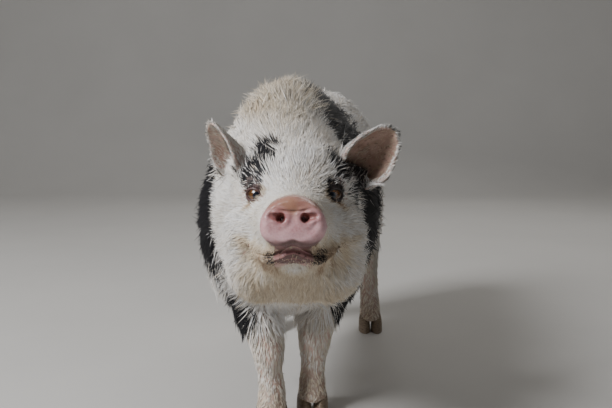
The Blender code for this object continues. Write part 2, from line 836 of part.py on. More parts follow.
def tail_locks():
    """The tuft at the end of the tail."""
    chance = random.Random(5)
    forms = []
    for i in range(TAIL_LOCKS):
        angle = 2 * math.pi * i / TAIL_LOCKS
        out = Vector((math.cos(angle), math.sin(angle), 0))
        across = Vector((-out.y, out.x, 0))
        root = Vector(TAIL[-1][0]) + Vector((0, 0, 0.012 + 0.010 * (i % 3)))
        drop = chance.uniform(0.048, 0.066)
        path = [root - out * 0.001, root + out * 0.006 - Vector((0, 0, 0.016))]
        path.append(root + out * 0.008 - Vector((0, 0, drop * 0.7)))
        path.append(root + out * 0.004 - Vector((0, 0, drop)))
        rings = []
        for k, wide in ((0, 0.0036), (1, 0.0046), (2, 0.0034)):
            thick = out * 0.0018
            rings.append([path[k] + across * wide, path[k] + thick, path[k] - across * wide, path[k] - thick])
        forms.append(pointed(rings, path[3]))
    return forms


def touching(a, b):
    """Whether the boxes of two objects meet."""
    (low_a, high_a), (low_b, high_b) = box_of(a), box_of(b)
    return all(low_a[i] < high_b[i] and low_b[i] < high_a[i] for i in range(3))


def largest(thing):
    found = loose_parts(thing)
    for small in found[1:]:
        bpy.data.objects.remove(small)
    return found[0]


def add_coat(parts, skin):
    """Joins each part's locks to it, from the tail forward, and cuts them clear of the other parts."""
    locks = coat_locks(parts, skin)
    locks["tail"] = tail_locks()
    for name in ["tail"] + COATED[::-1]:
        combined(parts[name], locks[name], "UNION")
        others = [thing for other, thing in parts.items() if other != name and touching(thing, parts[name])]
        combined(parts[name], [grown(other, SMALL_GAP) for other in others], "DIFFERENCE")
        parts[name] = largest(parts[name])


def part_places():
    """Near the middle of each part of the body, by its name."""
    frame = head_frame()
    places = {
        "head": frame @ Vector((0, 0.010, -0.030)),
        "snout": frame @ Vector((0, -0.102, -0.034)),
        "neck": Vector((-0.032, -0.062, 0.283)),
        "forequarters": Vector((-0.020, 0.035, 0.290)),
        "barrel": Vector((-0.007, 0.213, 0.290)),
        "hindquarters": Vector((0.020, 0.410, 0.280)),
        "tail": Vector((0.044, 0.530, 0.314)),
    }
    for name, (root, tip, facing, half_width) in EARS.items():
        places["ear_" + name] = Vector(root).lerp(Vector(tip), 0.55)
    for name, foot in FEET.items():
        fore = name.startswith("fore")
        places[name] = Vector((foot[0], foot[1] - (0 if fore else -0.015), 0.075 if fore else 0.09))
        short = name.replace("leg", "")
        for side, which in ((1, "left"), (-1, "right")):
            places[f"claw_{short}_{which}"] = Vector((foot[0] + side * 0.012, foot[1] - 0.010, 0.013))
            places[f"dewclaw_{short}_{which}"] = Vector((foot[0] + side * 0.012, foot[1] + 0.028, 0.037))
    return places


def nearest_name(place):
    places = part_places()
    return min(places, key=lambda name: (places[name] - place).length)


def finish_of(name):
    kinds = {"snout": "nose", "ear": "ear", "eye": "eye", "claw": "horn", "dewclaw": "horn"}
    return kinds.get(name.split("_")[0], "coat")


def settled(thing):
    """Merges points that fall together and leaves only triangles."""
    bm = bmesh.new()
    bm.from_mesh(thing.data)
    bmesh.ops.remove_doubles(bm, verts=bm.verts, dist=0.000002)
    bmesh.ops.dissolve_degenerate(bm, edges=bm.edges, dist=0.000002)
    bmesh.ops.triangulate(bm, faces=bm.faces, quad_method="BEAUTY", ngon_method="BEAUTY")
    bm.to_mesh(thing.data)
    bm.free()


def recentre(things):
    """Brings the middle of the whole pig's box over the origin, with its feet on the floor."""
    corners = [corner for thing in things for corner in box_of(thing)]
    low = [min(c[i] for c in corners) for i in range(3)]
    high = [max(c[i] for c in corners) for i in range(3)]
    shift = Matrix.Translation((-(low[0] + high[0]) / 2, -(low[1] + high[1]) / 2, -low[2]))
    for thing in things:
        thing.data.transform(shift)


def main():
    clear_scene()
    frame = head_frame()
    whole = flesh()
    skin = surface_of(whole)
    head = copy_of(whole, "head")
    body = whole
    combined(head, [side_of_cut(NECK_CUT, True, 0.008)], "DIFFERENCE")
    combined(body, [side_of_cut(NECK_CUT, False, 0.008)], "DIFFERENCE")
    thinned(head, HEAD_TRIANGLES)
    thinned(body, BODY_TRIANGLES)
    surface = surface_of(head)
    combined(head, in_world([hollow_form(side) for side in (-1, 1)], frame), "DIFFERENCE")
    details = in_world([disc_form()], frame)
    details += in_world([lid_form(side) for side in (-1, 1)], frame)
    combined(head, details, "UNION")
    holes = in_world([nostril_form(side) for side in (-1, 1)], frame)
    holes.append(mouth_form(surface))
    for side in (-1, 1):
        socket = ellipsoid(mirrored(EYE_PLACE, side), [EYE_RADIUS + PART_GAP] * 3, None, 14, 8)
        holes += in_world([socket], frame)
    holes.append(side_of_cut(NECK_CUT, True))
    holes += in_world([box((0, SNOUT_CUT, -0.038), (1, 0, 0), (0, 0, 1), (0.1, 0.092, PART_GAP))], frame)
    combined(head, holes, "DIFFERENCE")
    details = [tail_form()]
    cuts = [cross_cut(CHEST_CUT), cross_cut(BARREL_CUT), cross_cut(HIND_CUT), floor_cut()]
    cuts.append(side_of_cut(NECK_CUT, False))
    for name, foot in FEET.items():
        cuts += leg_cuts(name)
        for side in (-1, 1):
            details.append(claw_form(foot, side))
            details.append(dewclaw_form(foot, side, back_of(name)))
            cuts.append(dewclaw_cut(foot, side, back_of(name)))
    cuts.append(box((0.044, 0.519, 0.375), (1, 0, 0), (0, 0.45, 0.9), (0.05, 0.05, PART_GAP)))
    combined(body, details, "UNION")
    combined(body, cuts, "DIFFERENCE")
    ears = [ear_part(name, [head, body]) for name in EARS]
    parts = {}
    for thing in [head, body] + ears:
        for found in loose_parts(thing):
            name = nearest_name(middle_of(found))
            if name in parts:
                bpy.data.objects.remove(found)
            else:
                parts[name] = found
    for side, name in ((1, "eye_left"), (-1, "eye_right")):
        ball = ellipsoid(mirrored(EYE_PLACE, side), [EYE_RADIUS] * 3, None, 14, 8)
        parts[name] = add_object(name, in_world([ball], frame)[0])
    add_coat(parts, skin)
    for name, thing in parts.items():
        thing.name = name
        thing.data.materials.clear()
        thing.data.materials.append(finish(finish_of(name)))
        thing.vertex_groups.clear()
        settled(thing)
    recentre(parts.values())


main()
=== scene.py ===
import math

import bmesh
import bpy
import numpy as np
from mathutils import Matrix, Vector
from mathutils.bvhtree import BVHTree
from mathutils.kdtree import KDTree


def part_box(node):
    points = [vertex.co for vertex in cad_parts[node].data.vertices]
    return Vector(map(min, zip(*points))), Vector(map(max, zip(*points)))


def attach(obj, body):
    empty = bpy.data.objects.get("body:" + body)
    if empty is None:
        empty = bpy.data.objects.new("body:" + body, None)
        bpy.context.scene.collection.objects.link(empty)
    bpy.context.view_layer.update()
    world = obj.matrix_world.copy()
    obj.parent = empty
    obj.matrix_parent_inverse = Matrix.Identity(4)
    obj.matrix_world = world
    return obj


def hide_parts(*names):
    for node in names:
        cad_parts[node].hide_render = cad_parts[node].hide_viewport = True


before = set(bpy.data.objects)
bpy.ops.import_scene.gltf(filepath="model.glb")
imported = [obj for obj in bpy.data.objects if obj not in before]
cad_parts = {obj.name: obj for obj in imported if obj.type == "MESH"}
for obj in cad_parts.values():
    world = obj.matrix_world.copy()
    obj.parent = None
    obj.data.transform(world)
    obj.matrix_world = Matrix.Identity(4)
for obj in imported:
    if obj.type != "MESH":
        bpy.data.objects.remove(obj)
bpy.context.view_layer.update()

stance = {
    "chestX": -0.0325,
    "bodySwing": 0.15,  # how the body turns to its left towards the tail
    "neckReach": 0.15,  # how far before the forefeet the spine has come to the head
    "headPlace": (-0.0135, -0.187, 0.334),  # between the eyes
    "headPitch": 10.0,
    "headEnd": -0.083,  # place along Y of the border with the neck
    "shoulderSpread": 0.074,
    "hipSpread": 0.068,
    "hipY": 0.43,
    "feet": {
        "fore_left": (0.009, 0.000),
        "fore_right": (-0.047, -0.050),
        "hind_left": (0.124, 0.430),
        "hind_right": (-0.066, 0.425),
    },
}

headTurn = Matrix.Rotation(-math.radians(stance["headPitch"]), 4, "X")
headFrame = Matrix.Translation(stance["headPlace"]) @ headTurn
headBack = headFrame.inverted()


def spineX(y):
    if y > 0:
        return stance["chestX"] + stance["bodySwing"] * y
    share = min(1.0, (y / stance["neckReach"]) ** 2)
    return stance["chestX"] + (stance["headPlace"][0] - stance["chestX"]) * share


def pick(*things):
    # selects the things, with the first one active
    if bpy.context.mode != "OBJECT":
        bpy.ops.object.mode_set(mode="OBJECT")
    bpy.ops.object.select_all(action="DESELECT")
    for thing in things:
        thing.select_set(True)
    bpy.context.view_layer.objects.active = things[0]


def finishWith(thing, kind, **settings):
    pick(thing)
    modifier = thing.modifiers.new(kind.lower(), kind)
    for name, value in settings.items():
        setattr(modifier, name, value)
    bpy.ops.object.modifier_apply(modifier=modifier.name)


def joinAll(name, things):
    pick(*things)
    bpy.ops.object.join()
    bpy.ops.object.transform_apply(location=True, rotation=True, scale=True)
    joined = bpy.context.object
    joined.name = name
    joined.data.name = name
    return joined


def addFresh(name, add, location=(0, 0, 0), **settings):
    bpy.ops.object.select_all(action="DESELECT")
    add(location=location, **settings)
    thing = bpy.context.object
    thing.name = name
    return thing


def addObject(name, data):
    thing = bpy.data.objects.new(name, data)
    bpy.context.collection.objects.link(thing)
    return thing


def editAll(thing, action, **settings):
    pick(thing)
    bpy.ops.object.mode_set(mode="EDIT")
    bpy.ops.mesh.select_all(action="SELECT")
    action(**settings)
    bpy.ops.object.mode_set(mode="OBJECT")


def smoothBelow(thing, degrees):
    pick(thing)
    bpy.ops.object.shade_smooth_by_angle(angle=math.radians(degrees))


def ringPlace(ring, unit):
    centre, across, up, (wide, rise, drop, upperPower, lowerPower) = ring
    power = upperPower if unit.y >= 0 else lowerPower
    reach = rise if unit.y >= 0 else drop
    x = math.copysign(abs(unit.x) ** (2 / power), unit.x) * wide
    y = math.copysign(abs(unit.y) ** (2 / power), unit.y) * reach
    return Vector(centre) + Vector(across) * x + Vector(up) * y


def addSweep(name, rings, sides=32):
    # a disc that is extruded from ring to ring
    thing = addFresh(name, bpy.ops.mesh.primitive_circle_add, vertices=sides, radius=1, fill_type="NGON")
    bpy.ops.object.mode_set(mode="EDIT")
    bm = bmesh.from_edit_mesh(thing.data)
    unit = bm.verts.layers.float_vector.new("unit")
    for v in bm.verts:
        v[unit] = v.co
    for k, ring in enumerate(rings):
        if k:
            bpy.ops.mesh.extrude_region_move()
        bm = bmesh.from_edit_mesh(thing.data)
        unit = bm.verts.layers.float_vector["unit"]
        for v in bm.verts:
            if v.select:
                v.co = ringPlace(ring, v[unit])
        bmesh.update_edit_mesh(thing.data)
    bpy.ops.mesh.select_all(action="SELECT")
    bpy.ops.mesh.normals_make_consistent(inside=False)
    bpy.ops.object.mode_set(mode="OBJECT")
    return thing


def addBall(name, place, radii):
    sizes = {"segments": 40, "ring_count": 24, "radius": 1, "scale": radii}
    return addFresh(name, bpy.ops.mesh.primitive_uv_sphere_add, place, **sizes)


def addTube(name, path, radii, sides):
    rings = []
    path = [Vector(p) for p in path]
    for i, p in enumerate(path):
        along = (path[min(i + 1, len(path) - 1)] - path[max(i - 1, 0)]).normalized()
        across = along.cross(Vector((0, 0, 1)))
        if across.length < 0.2:
            across = along.cross(Vector((0, 1, 0)))
        across.normalize()
        radius = float(radii[i])
        rings.append((p, across, across.cross(along), (radius, radius, radius, 2, 2)))
    return addSweep(name, rings, sides)


def taperedTube(name, path, radii, sides=20):
    return addTube(name, finer(path), finer(np.array(radii)[:, None]), sides)


def toHead(thing):
    thing.matrix_world = headFrame @ thing.matrix_world
    return thing


def softStep(low, high, x):
    t = np.clip((x - low) / (high - low), 0, 1)
    return t * t * (3 - 2 * t)


def hump(distance, width):
    return softStep(0, 1, 1 - distance / width)


def band(values, middle, width):
    # 1 at the middle and 0 from this far on either side
    return hump(np.abs(values - middle), width)


def carried(places, matrix):
    return places @ np.array(matrix.to_3x3()).T + np.array(matrix.translation)


def localOf(places):
    # places in the head's frame
    return carried(places, headBack)


def vectorsOf(items, name):
    flat = np.empty(len(items) * 3, np.float32)
    items.foreach_get(name, flat)
    return flat.reshape(-1, 3).astype(float)


def placesOf(mesh):
    return vectorsOf(mesh.vertices, "co")


def normalsOf(mesh):
    return vectorsOf(mesh.vertices, "normal")


def setPlaces(mesh, places):
    mesh.vertices.foreach_set("co", places.astype(np.float32).ravel())
    mesh.update()


def lengthOf(vectors):
    return np.linalg.norm(vectors, axis=-1)


def unitOf(vectors):
    return vectors / np.maximum(lengthOf(vectors), 1e-9)[..., None]


def partAlong(vectors, axes):
    return axes * (vectors * axes).sum(axis=1)[:, None]


def asideOf(places):
    # how far to the left of the spine
    return places[:, 0] - np.array([spineX(y) for y in places[:, 1]])


def behindHead(places):
    # how far behind the slanting border of head and neck
    return places[:, 1] - stance["headEnd"] - 0.25 * (places[:, 2] - 0.300)


def headShare(places):
    return softStep(0.006, -0.006, behindHead(places))


def ripple(places, size, seed):
    # smooth unevenness from -1 to 1, with lumps of about this size
    chance = np.random.default_rng(seed)
    total = np.zeros(len(places))
    for k in range(6):
        way = unitOf(chance.normal(size=3))
        waves = 2 * math.pi / (size * chance.uniform(0.7, 1.5))
        total += np.sin(places @ way * waves + chance.uniform(0, 6.3))
    return total / 3.2


def finer(rows, steps=4):
    # rows in between, on a smooth curve through the ones given
    rows = np.array(rows)
    padded = np.vstack([2 * rows[0] - rows[1], rows, 2 * rows[-1] - rows[-2]])
    made = []
    for a, b, c, d in zip(padded, padded[1:], padded[2:], padded[3:]):
        for t in np.arange(steps) / steps:
            curve = 2 * b + (c - a) * t + (2 * a - 5 * b + 4 * c - d) * t**2 + (3 * b - a - 3 * c + d) * t**3
            made.append(curve / 2)
    return made + [rows[-1]]


# The trunk, from inside the head to the rump:
# place along Y, top, middle, bottom, half width, power of the upper curve
trunk = {
    "rows": (
        (-0.150, 0.378, 0.290, 0.215, 0.055, 2.0),
        (-0.115, 0.408, 0.290, 0.190, 0.080, 2.0),
        (-0.070, 0.430, 0.285, 0.172, 0.095, 1.9),
        (-0.030, 0.445, 0.280, 0.155, 0.110, 1.75),
        (0.010, 0.456, 0.278, 0.143, 0.121, 1.65),
        (0.055, 0.463, 0.280, 0.133, 0.127, 1.6),
        (0.110, 0.461, 0.280, 0.126, 0.128, 1.65),
        (0.180, 0.452, 0.275, 0.120, 0.124, 1.75),
        (0.260, 0.446, 0.275, 0.122, 0.120, 1.85),
        (0.330, 0.454, 0.285, 0.138, 0.117, 1.95),
        (0.390, 0.458, 0.295, 0.165, 0.113, 2.0),
        (0.440, 0.445, 0.303, 0.205, 0.103, 2.0),
        (0.480, 0.413, 0.308, 0.245, 0.082, 2.0),
        (0.503, 0.372, 0.312, 0.275, 0.050, 2.0),
    ),
    "lowerPower": 2.2,
    "shoulder": ((0.068, 0.030, 0.245), (0.050, 0.072, 0.100)),
    "ham": ((0.057, 0.405, 0.285), (0.058, 0.085, 0.115)),
}


def trunkForms():
    rings = []
    for y, top, middle, bottom, wide, power in finer(trunk["rows"]):
        shape = (wide, top - middle, middle - bottom, power, trunk["lowerPower"])
        rings.append(((spineX(y), y, middle), (1, 0, 0), (0, 0, 1), shape))
    forms = [addSweep("trunkForm", rings, 48)]
    for side in (-1, 1):
        for part in ("shoulder", "ham"):
            (x, y, z), radii = trunk[part]
            forms.append(addBall(part + "Form", (spineX(y) + side * x, y, z), radii))
    return forms


# The head in its own frame: origin between the eyes, -Y along the muzzle, +Z up the forehead.
# Rows: place along Y, height of the middle, half width, half height
head = {
    "muzzle": (
        (0.030, -0.026, 0.070, 0.066),
        (-0.005, -0.031, 0.060, 0.053),
        (-0.035, -0.035, 0.049, 0.044),
        (-0.065, -0.036, 0.040, 0.036),
        (-0.092, -0.035, 0.033, 0.030),
    ),
    "jaw": (
        (0.060, -0.080, 0.062, 0.048),
        (0.020, -0.080, 0.058, 0.042),
        (-0.020, -0.077, 0.046, 0.032),
        (-0.055, -0.071, 0.033, 0.022),
        (-0.079, -0.067, 0.021, 0.012),
    ),
    "disc": (  # rise and drop of each ring beside its half width
        (-0.086, -0.037, 0.0320, 0.0300, 0.0230),
        (-0.096, -0.038, 0.0360, 0.0320, 0.0240),
        (-0.105, -0.038, 0.0365, 0.0320, 0.0235),
        (-0.1105, -0.038, 0.0335, 0.0285, 0.0205),
        (-0.1120, -0.038, 0.0260, 0.0215, 0.0150),
    ),
    "cranium": ((0.0, 0.055, 0.000), (0.074, 0.085, 0.068)),
    "cheek": ((0.040, 0.036, -0.045), (0.044, 0.060, 0.046)),
    "jowl": ((0.039, 0.045, -0.077), (0.044, 0.054, 0.050)),
    "brow": ((0.044, 0.010, 0.017), (0.022, 0.020, 0.012)),
    "mouth": (  # one side, from the middle to the corner
        (0.000, -0.0870, -0.0640),
        (0.009, -0.0855, -0.0665),
        (0.020, -0.0785, -0.0705),
        (0.033, -0.0640, -0.0710),
        (0.047, -0.0400, -0.0655),
        (0.060, -0.0200, -0.0580),
    ),
    "lipRadius": 0.0050,
    "lipShifts": (0.0042, -0.0052),
    "lipTaper": (0.9, 1.0, 1.0, 0.85, 0.6, 0.3),
}


def mirrored(place, side):
    return (place[0] * side, place[1], place[2])


def headSweep(name, rows):
    rings = []
    for row in finer(rows):
        y, z, wide, rise = row[:4]
        drop = row[4] if len(row) > 4 else rise
        powers = (1.75, 2.5) if len(row) > 4 else (2, 2)
        rings.append(((0, y, z), (1, 0, 0), (0, 0, 1), (wide, rise, drop, *powers)))
    return toHead(addSweep(name, rings, 40))


def headForms():
    forms = [headSweep(part + "Form", head[part]) for part in ("muzzle", "jaw", "disc")]
    forms.append(toHead(addBall("craniumForm", *head["cranium"])))
    for side in (-1, 1):
        for part in ("cheek", "jowl", "brow"):
            place, radii = head[part]
            forms.append(toHead(addBall(part + "Form", mirrored(place, side), radii)))
        for shift in head["lipShifts"]:
            path = [Vector(mirrored(p, side)) + Vector((0, 0, shift)) for p in head["mouth"]]
            radii = [head["lipRadius"] * taper for taper in head["lipTaper"]]
            forms.append(toHead(taperedTube("lipForm", path, radii, 16)))
    return forms


# Legs: height, share of the way from over the foot to under the joint, place along Y,
# half width, half depth
legs = {
    "fore": (
        (0.300, 1.00, 0.035, 0.036, 0.066),
        (0.235, 0.80, 0.030, 0.040, 0.058),
        (0.180, 0.52, 0.022, 0.037, 0.046),
        (0.140, 0.28, 0.012, 0.0300, 0.034),
        (0.104, 0.10, 0.002, 0.0235, 0.0262),
        (0.078, 0.06, 0.000, 0.0182, 0.0205),
        (0.058, 0.00, 0.000, 0.0178, 0.0200),
        (0.043, 0.00, -0.003, 0.0198, 0.0225),
        (0.0225, 0.00, -0.010, 0.0200, 0.0240),
    ),
    "hind": (
        (0.330, 1.00, -0.015, 0.045, 0.080),
        (0.260, 1.00, -0.020, 0.046, 0.078),
        (0.205, 0.75, -0.018, 0.040, 0.060),
        (0.165, 0.50, 0.002, 0.030, 0.042),
        (0.130, 0.30, 0.020, 0.0220, 0.0310),
        (0.105, 0.15, 0.024, 0.0190, 0.0250),
        (0.075, 0.05, 0.016, 0.0178, 0.0210),
        (0.048, 0.00, 0.004, 0.0195, 0.0220),
        (0.0225, 0.00, -0.008, 0.0198, 0.0238),
    ),
}


def legForm(name):
    footX, footY = stance["feet"][name]
    side = 1 if name.endswith("left") else -1
    fore = name.startswith("fore")
    jointX = spineX(footY) + side * stance["shoulderSpread" if fore else "hipSpread"]
    jointY = 0.0 if fore else stance["hipY"]
    rings = []
    for z, share, ahead, wide, deep in finer(legs["fore" if fore else "hind"]):
        centre = (footX + (jointX - footX) * share, footY + (jointY - footY) * share + ahead, z)
        rings.append((centre, (1, 0, 0), (0, 1, 0), (wide, deep, deep, 2, 2)))
    return addSweep("legForm", rings)


tail = {
    "path": (
        (0.040, 0.480, 0.385),
        (0.044, 0.512, 0.382),
        (0.047, 0.532, 0.352),
        (0.045, 0.538, 0.315),
        (0.040, 0.535, 0.280),
        (0.036, 0.533, 0.245),
    ),
    "radii": (0.0130, 0.0115, 0.0092, 0.0076, 0.0064, 0.0050),
    "start": 0.506,  # place along Y where the tail leaves the rump
}

# Ears: root, tip, way that the cup faces and half width
ears = {
    "left": ((0.058, -0.100, 0.354), (0.106, -0.126, 0.412), (0.15, -0.97, -0.15), 0.033),
    "right": ((-0.077, -0.098, 0.352), (-0.111, -0.112, 0.420), (-0.80, -0.58, 0.10), 0.026),
}
earSheet = {
    "rows": 22,
    "columns": 20,
    "thickness": 0.0042,
    "baseRadii": (0.020, 0.018, 0.017),  # flesh that fills the bottom of the cup
    "baseAlong": -0.08,
    "baseForward": 0.30,
    "rootWidth": 0.72,  # shares of the half width at the root and from there to the widest place
    "widens": 0.28,
    "widest": 0.4,
    "tipPower": 2.6,
    "tipWidth": 0.015,
    "cupAngle": 128,  # half of the cup's bend at the root, and how far it opens to the tip
    "cupOpens": 88,
    "tipForward": 0.010,
    "rootBack": 0.012,
    "mapSteps": 40,
    "mapMiddle": (-0.005, -0.12, 0.385),  # box round both ears
    "mapHalf": (0.16, 0.08, 0.085),
}


def earPlace(name, u, v):
    # u runs from the root to the tip, v from edge to edge, -1 to 1
    root, tip, facing, halfWidth = ears[name]
    root, tip, facing = Vector(root), Vector(tip), Vector(facing)
    axis = tip - root
    length = axis.length
    axis.normalize()
    facing = (facing - axis * facing.dot(axis)).normalized()
    across = axis.cross(facing)
    share = earSheet["rootWidth"] + earSheet["widens"] * min(1.0, u / earSheet["widest"])
    wide = halfWidth * share * max(earSheet["tipWidth"], 1 - u ** earSheet["tipPower"]) ** 0.5
    bend = math.radians(earSheet["cupAngle"] - earSheet["cupOpens"] * u)
    radius = wide if bend > math.pi / 2 else wide / math.sin(bend)
    forward = earSheet["tipForward"] * u * u - earSheet["rootBack"] * (1 - u)
    middle = root + axis * length * u + facing * forward
    angle = bend * v
    place = middle + across * radius * math.sin(angle) + facing * radius * (1 - math.cos(angle))
    inward = facing * math.cos(angle) - across * math.sin(angle)
    return place, inward, axis


def buildEar(name):
    sizes = {"x_subdivisions": earSheet["columns"], "y_subdivisions": earSheet["rows"], "size": 2}
    thing = addFresh("earSheet", bpy.ops.mesh.primitive_grid_add, **sizes)
    for v in thing.data.vertices:
        v.co = earPlace(name, (v.co.y + 1) / 2, v.co.x)[0]
    finishWith(thing, "SOLIDIFY", thickness=earSheet["thickness"], offset=0.0)
    finishWith(thing, "SUBSURF", levels=1, render_levels=1)
    thing.data.shade_smooth()
    return thing


def earBase(name):
    root, tip, facing, halfWidth = ears[name]
    place = Vector(root).lerp(Vector(tip), earSheet["baseAlong"])
    place += Vector(facing) * halfWidth * earSheet["baseForward"]
    return addBall("earBase", place, earSheet["baseRadii"])


class EarMap:
    # finds how far along and across an ear a place lies, and on which side of it
    def __init__(self):
        self.facts = []
        steps = earSheet["mapSteps"]
        for name in ears:
            for i in range(steps + 1):
                for j in range(steps + 1):
                    u, v = i / steps, 2 * j / steps - 1
                    self.facts.append((*earPlace(name, u, v), u, v))
        self.tree = KDTree(len(self.facts))
        for k, fact in enumerate(self.facts):
            self.tree.insert(fact[0], k)
        self.tree.balance()

    def read(self, places):
        near = np.full(len(places), 9.0)
        side, along, across = (np.zeros(len(places)) for k in range(3))
        axes, outs = (np.zeros((len(places), 3)) for k in range(2))
        within = np.abs(places - np.array(earSheet["mapMiddle"])) < np.array(earSheet["mapHalf"])
        for k in np.nonzero(within.all(axis=1))[0]:
            index, near[k] = self.tree.find(places[k])[1:]
            middle, outs[k], axes[k], along[k], across[k] = self.facts[index]
            side[k] = (Vector(places[k]) - middle).dot(self.facts[index][1])
        return {"near": near, "side": side, "u": along, "v": across, "axis": axes, "inward": outs}


# The skin: size of its mesh, rounds of softening, and how deep it lies under the solids' surface
skin = {
    "voxel": 0.0046,
    "softRounds": 19,
    "bodyDepth": 0.0060,
    "headDepth": 0.0032,
    "legDepth": 0.0012,
    "tailDepth": 0.0004,
    "crestRise": 0.003,  # less depth where the coat stands on the hump
    "crestHeights": (0.40, 0.44),
    "discFade": (-0.088, -0.045),  # along Y of the head, where the coat's depth ends and is full
    "headFade": (0.01, -0.03),
    "legTops": (0.19, 0.13),
    "legStarts": (-0.12, -0.09),
    "foreLegsEnd": 0.10,
    "hindLegsStart": 0.35,
    "hoofTop": 0.03,
    "legSoft": (0.10, 0.08, 0.15),  # start, reach and least share of the softening
    "noseSoft": (-0.270, 0.06, 0.50),
    "discSoft": 0.30,
    "tailSoft": 0.10,
    "unwrapAngle": 66,
}


def rising(values, start, reach, least):
    return np.clip((values - start) / reach, least, 1)


def onTail(places):
    return places[:, 1] > tail["start"]


def setSoftness(thing, weights):
    group = thing.vertex_groups.new(name="soft")
    for k, weight in enumerate(weights):
        group.add([k], float(weight), "REPLACE")


def refine(thing, wanted, rounds):
    # quarter-size faces where they are wanted, softened
    pick(thing)
    mesh = thing.data
    chosen = wanted(localOf(vectorsOf(mesh.polygons, "center")))
    mesh.vertices.foreach_set("select", np.zeros(len(mesh.vertices), bool))
    mesh.edges.foreach_set("select", np.zeros(len(mesh.edges), bool))
    mesh.polygons.foreach_set("select", chosen)
    bpy.context.tool_settings.mesh_select_mode = (False, False, True)
    bpy.ops.object.mode_set(mode="EDIT")
    bpy.ops.mesh.subdivide(number_cuts=1)
    bpy.ops.mesh.vertices_smooth(factor=0.5, repeat=rounds)
    bpy.ops.object.mode_set(mode="OBJECT")


def buildSkin():
    forms = trunkForms() + headForms()
    forms += [legForm(name) for name in stance["feet"]]
    forms.append(taperedTube("tailForm", tail["path"], tail["radii"]))
    forms += [earBase(name) for name in ears]
    whole = joinAll("skin", forms)
    for layer in list(whole.data.attributes):
        if layer.name == "unit":
            whole.data.attributes.remove(layer)
    finishWith(whole, "REMESH", mode="VOXEL", voxel_size=skin["voxel"])
    places = placesOf(whole.data)
    local = localOf(places)
    legSoft = rising(places[:, 2], *skin["legSoft"])
    noseSoft = rising(places[:, 1], *skin["noseSoft"])
    noseSoft = np.where((local[:, 1] < -0.084) & (local[:, 2] > -0.066), skin["discSoft"], noseSoft)
    tailSoft = np.where(onTail(places), skin["tailSoft"], 1.0)
    setSoftness(whole, np.minimum.reduce([legSoft, noseSoft, tailSoft]))
    finishWith(whole, "SMOOTH", factor=0.5, iterations=skin["softRounds"], vertex_group="soft")
    whole.vertex_groups.clear()
    places = placesOf(whole.data)
    depth = coatDepth(places, localOf(places))
    setPlaces(whole.data, places - normalsOf(whole.data) * depth[:, None])
    print("skin fused", len(whole.data.polygons))
    for wanted, rounds in ((wholeFace, 4), (fineFace, 3), (finestFace, 3)):
        refine(whole, wanted, rounds)
    print("skin refined", len(whole.data.polygons))
    return whole


def unwrapSkin(whole):
    angle = math.radians(skin["unwrapAngle"])
    editAll(whole, bpy.ops.uv.smart_project, angle_limit=angle, island_margin=0.002)
    whole.data.uv_layers[0].name = "OFBake"


def coatDepth(places, local):
    y, z = places[:, 1], places[:, 2]
    body = np.full(len(places), skin["bodyDepth"])
    body += (skin["headDepth"] - skin["bodyDepth"]) * softStep(*skin["headFade"], behindHead(places))
    body *= softStep(*skin["discFade"], local[:, 1])
    low = softStep(*skin["legTops"], z) * softStep(*skin["legStarts"], y)
    legZone = (y < skin["foreLegsEnd"]) | (y > skin["hindLegsStart"])
    body += (skin["legDepth"] - body) * low * legZone
    body -= skin["crestRise"] * softStep(*skin["crestHeights"], z)
    body[y > tail["start"] + 0.002] = skin["tailDepth"]
    body[z < skin["hoofTop"]] = 0.0
    return body


# The eyes: place in the head's frame, ball, way that the lids open and way that the eye looks
eyes = {
    "place": (0.0435, 0.0015, 0.0000),
    "radius": 0.0122,
    "opens": (0.46, -0.88, 0.04),
    "looks": (0.04, -0.99, -0.09),
    "openWidth": (1.20, 1.10),  # tangents towards the temple and the nose
    "openHeight": (0.60, 0.64),  # up and down
    "lidThickness": 0.0012,
    "lidReach": 0.0235,  # how far from the middle the lids are shaped
    "folds": (  # upper lid or not, rise, and place and half width as shares of the opening
        (True, 0.0010, 2.10, 0.36),
        (True, -0.0010, 1.66, 0.26),
        (False, -0.0009, 1.85, 0.22),
        (False, -0.0007, 2.45, 0.25),
    ),
    "cornea": 0.0011,
    "socket": (0.0430, -0.0060, 0.0020),
    "socketHalf": (0.0195, 0.0210, 0.0175),
    "bareWide": (0.0150, 0.0098),  # towards the nose and the temple
    "bareHigh": 0.0122,
    "irisAngle": 0.98,
    "pupilAngle": 0.36,
}


def eyeFrame(side, way="opens"):
    # turns -Y to the way given, at the middle of the eye
    turn = Vector(mirrored(eyes[way], side)).normalized().to_track_quat("-Y", "Z")
    return Matrix.Translation(mirrored(eyes["place"], side)) @ turn.to_matrix().to_4x4()


def eyeAway(local, side):
    # places from the middle of the eye, in its own frame
    here = eyeFrame(side)
    return (local - np.array(here.translation)) @ np.array(here.to_3x3())


def openingShare(away, side):
    # 1 on the edge of the opening of the lids, less inside it; away is in the eye's frame
    ahead = np.maximum(-away[:, 1], 1e-4)
    x, z = away[:, 0] / ahead * side, away[:, 2] / ahead
    z = z + 0.10 * np.clip(-x, 0, 1)
    wide = np.where(x > 0, *eyes["openWidth"])
    high = np.where(z > 0, *eyes["openHeight"])
    share = np.sqrt((x / wide) ** 2 + (z / high) ** 2)
    return np.where(away[:, 1] < -0.002, share, 9.0)


def eyeDistance(local):
    # from the middle of the nearer eye
    return np.minimum(*[lengthOf(local - np.array(mirrored(eyes["place"], side))) for side in (-1, 1)])


# Parts of the face that get a finer mesh
def wholeFace(local):
    x, y, z = np.abs(local[:, 0]), local[:, 1], local[:, 2]
    return (x < 0.085) & (y < 0.012) & (z > -0.095) & (z < 0.030)


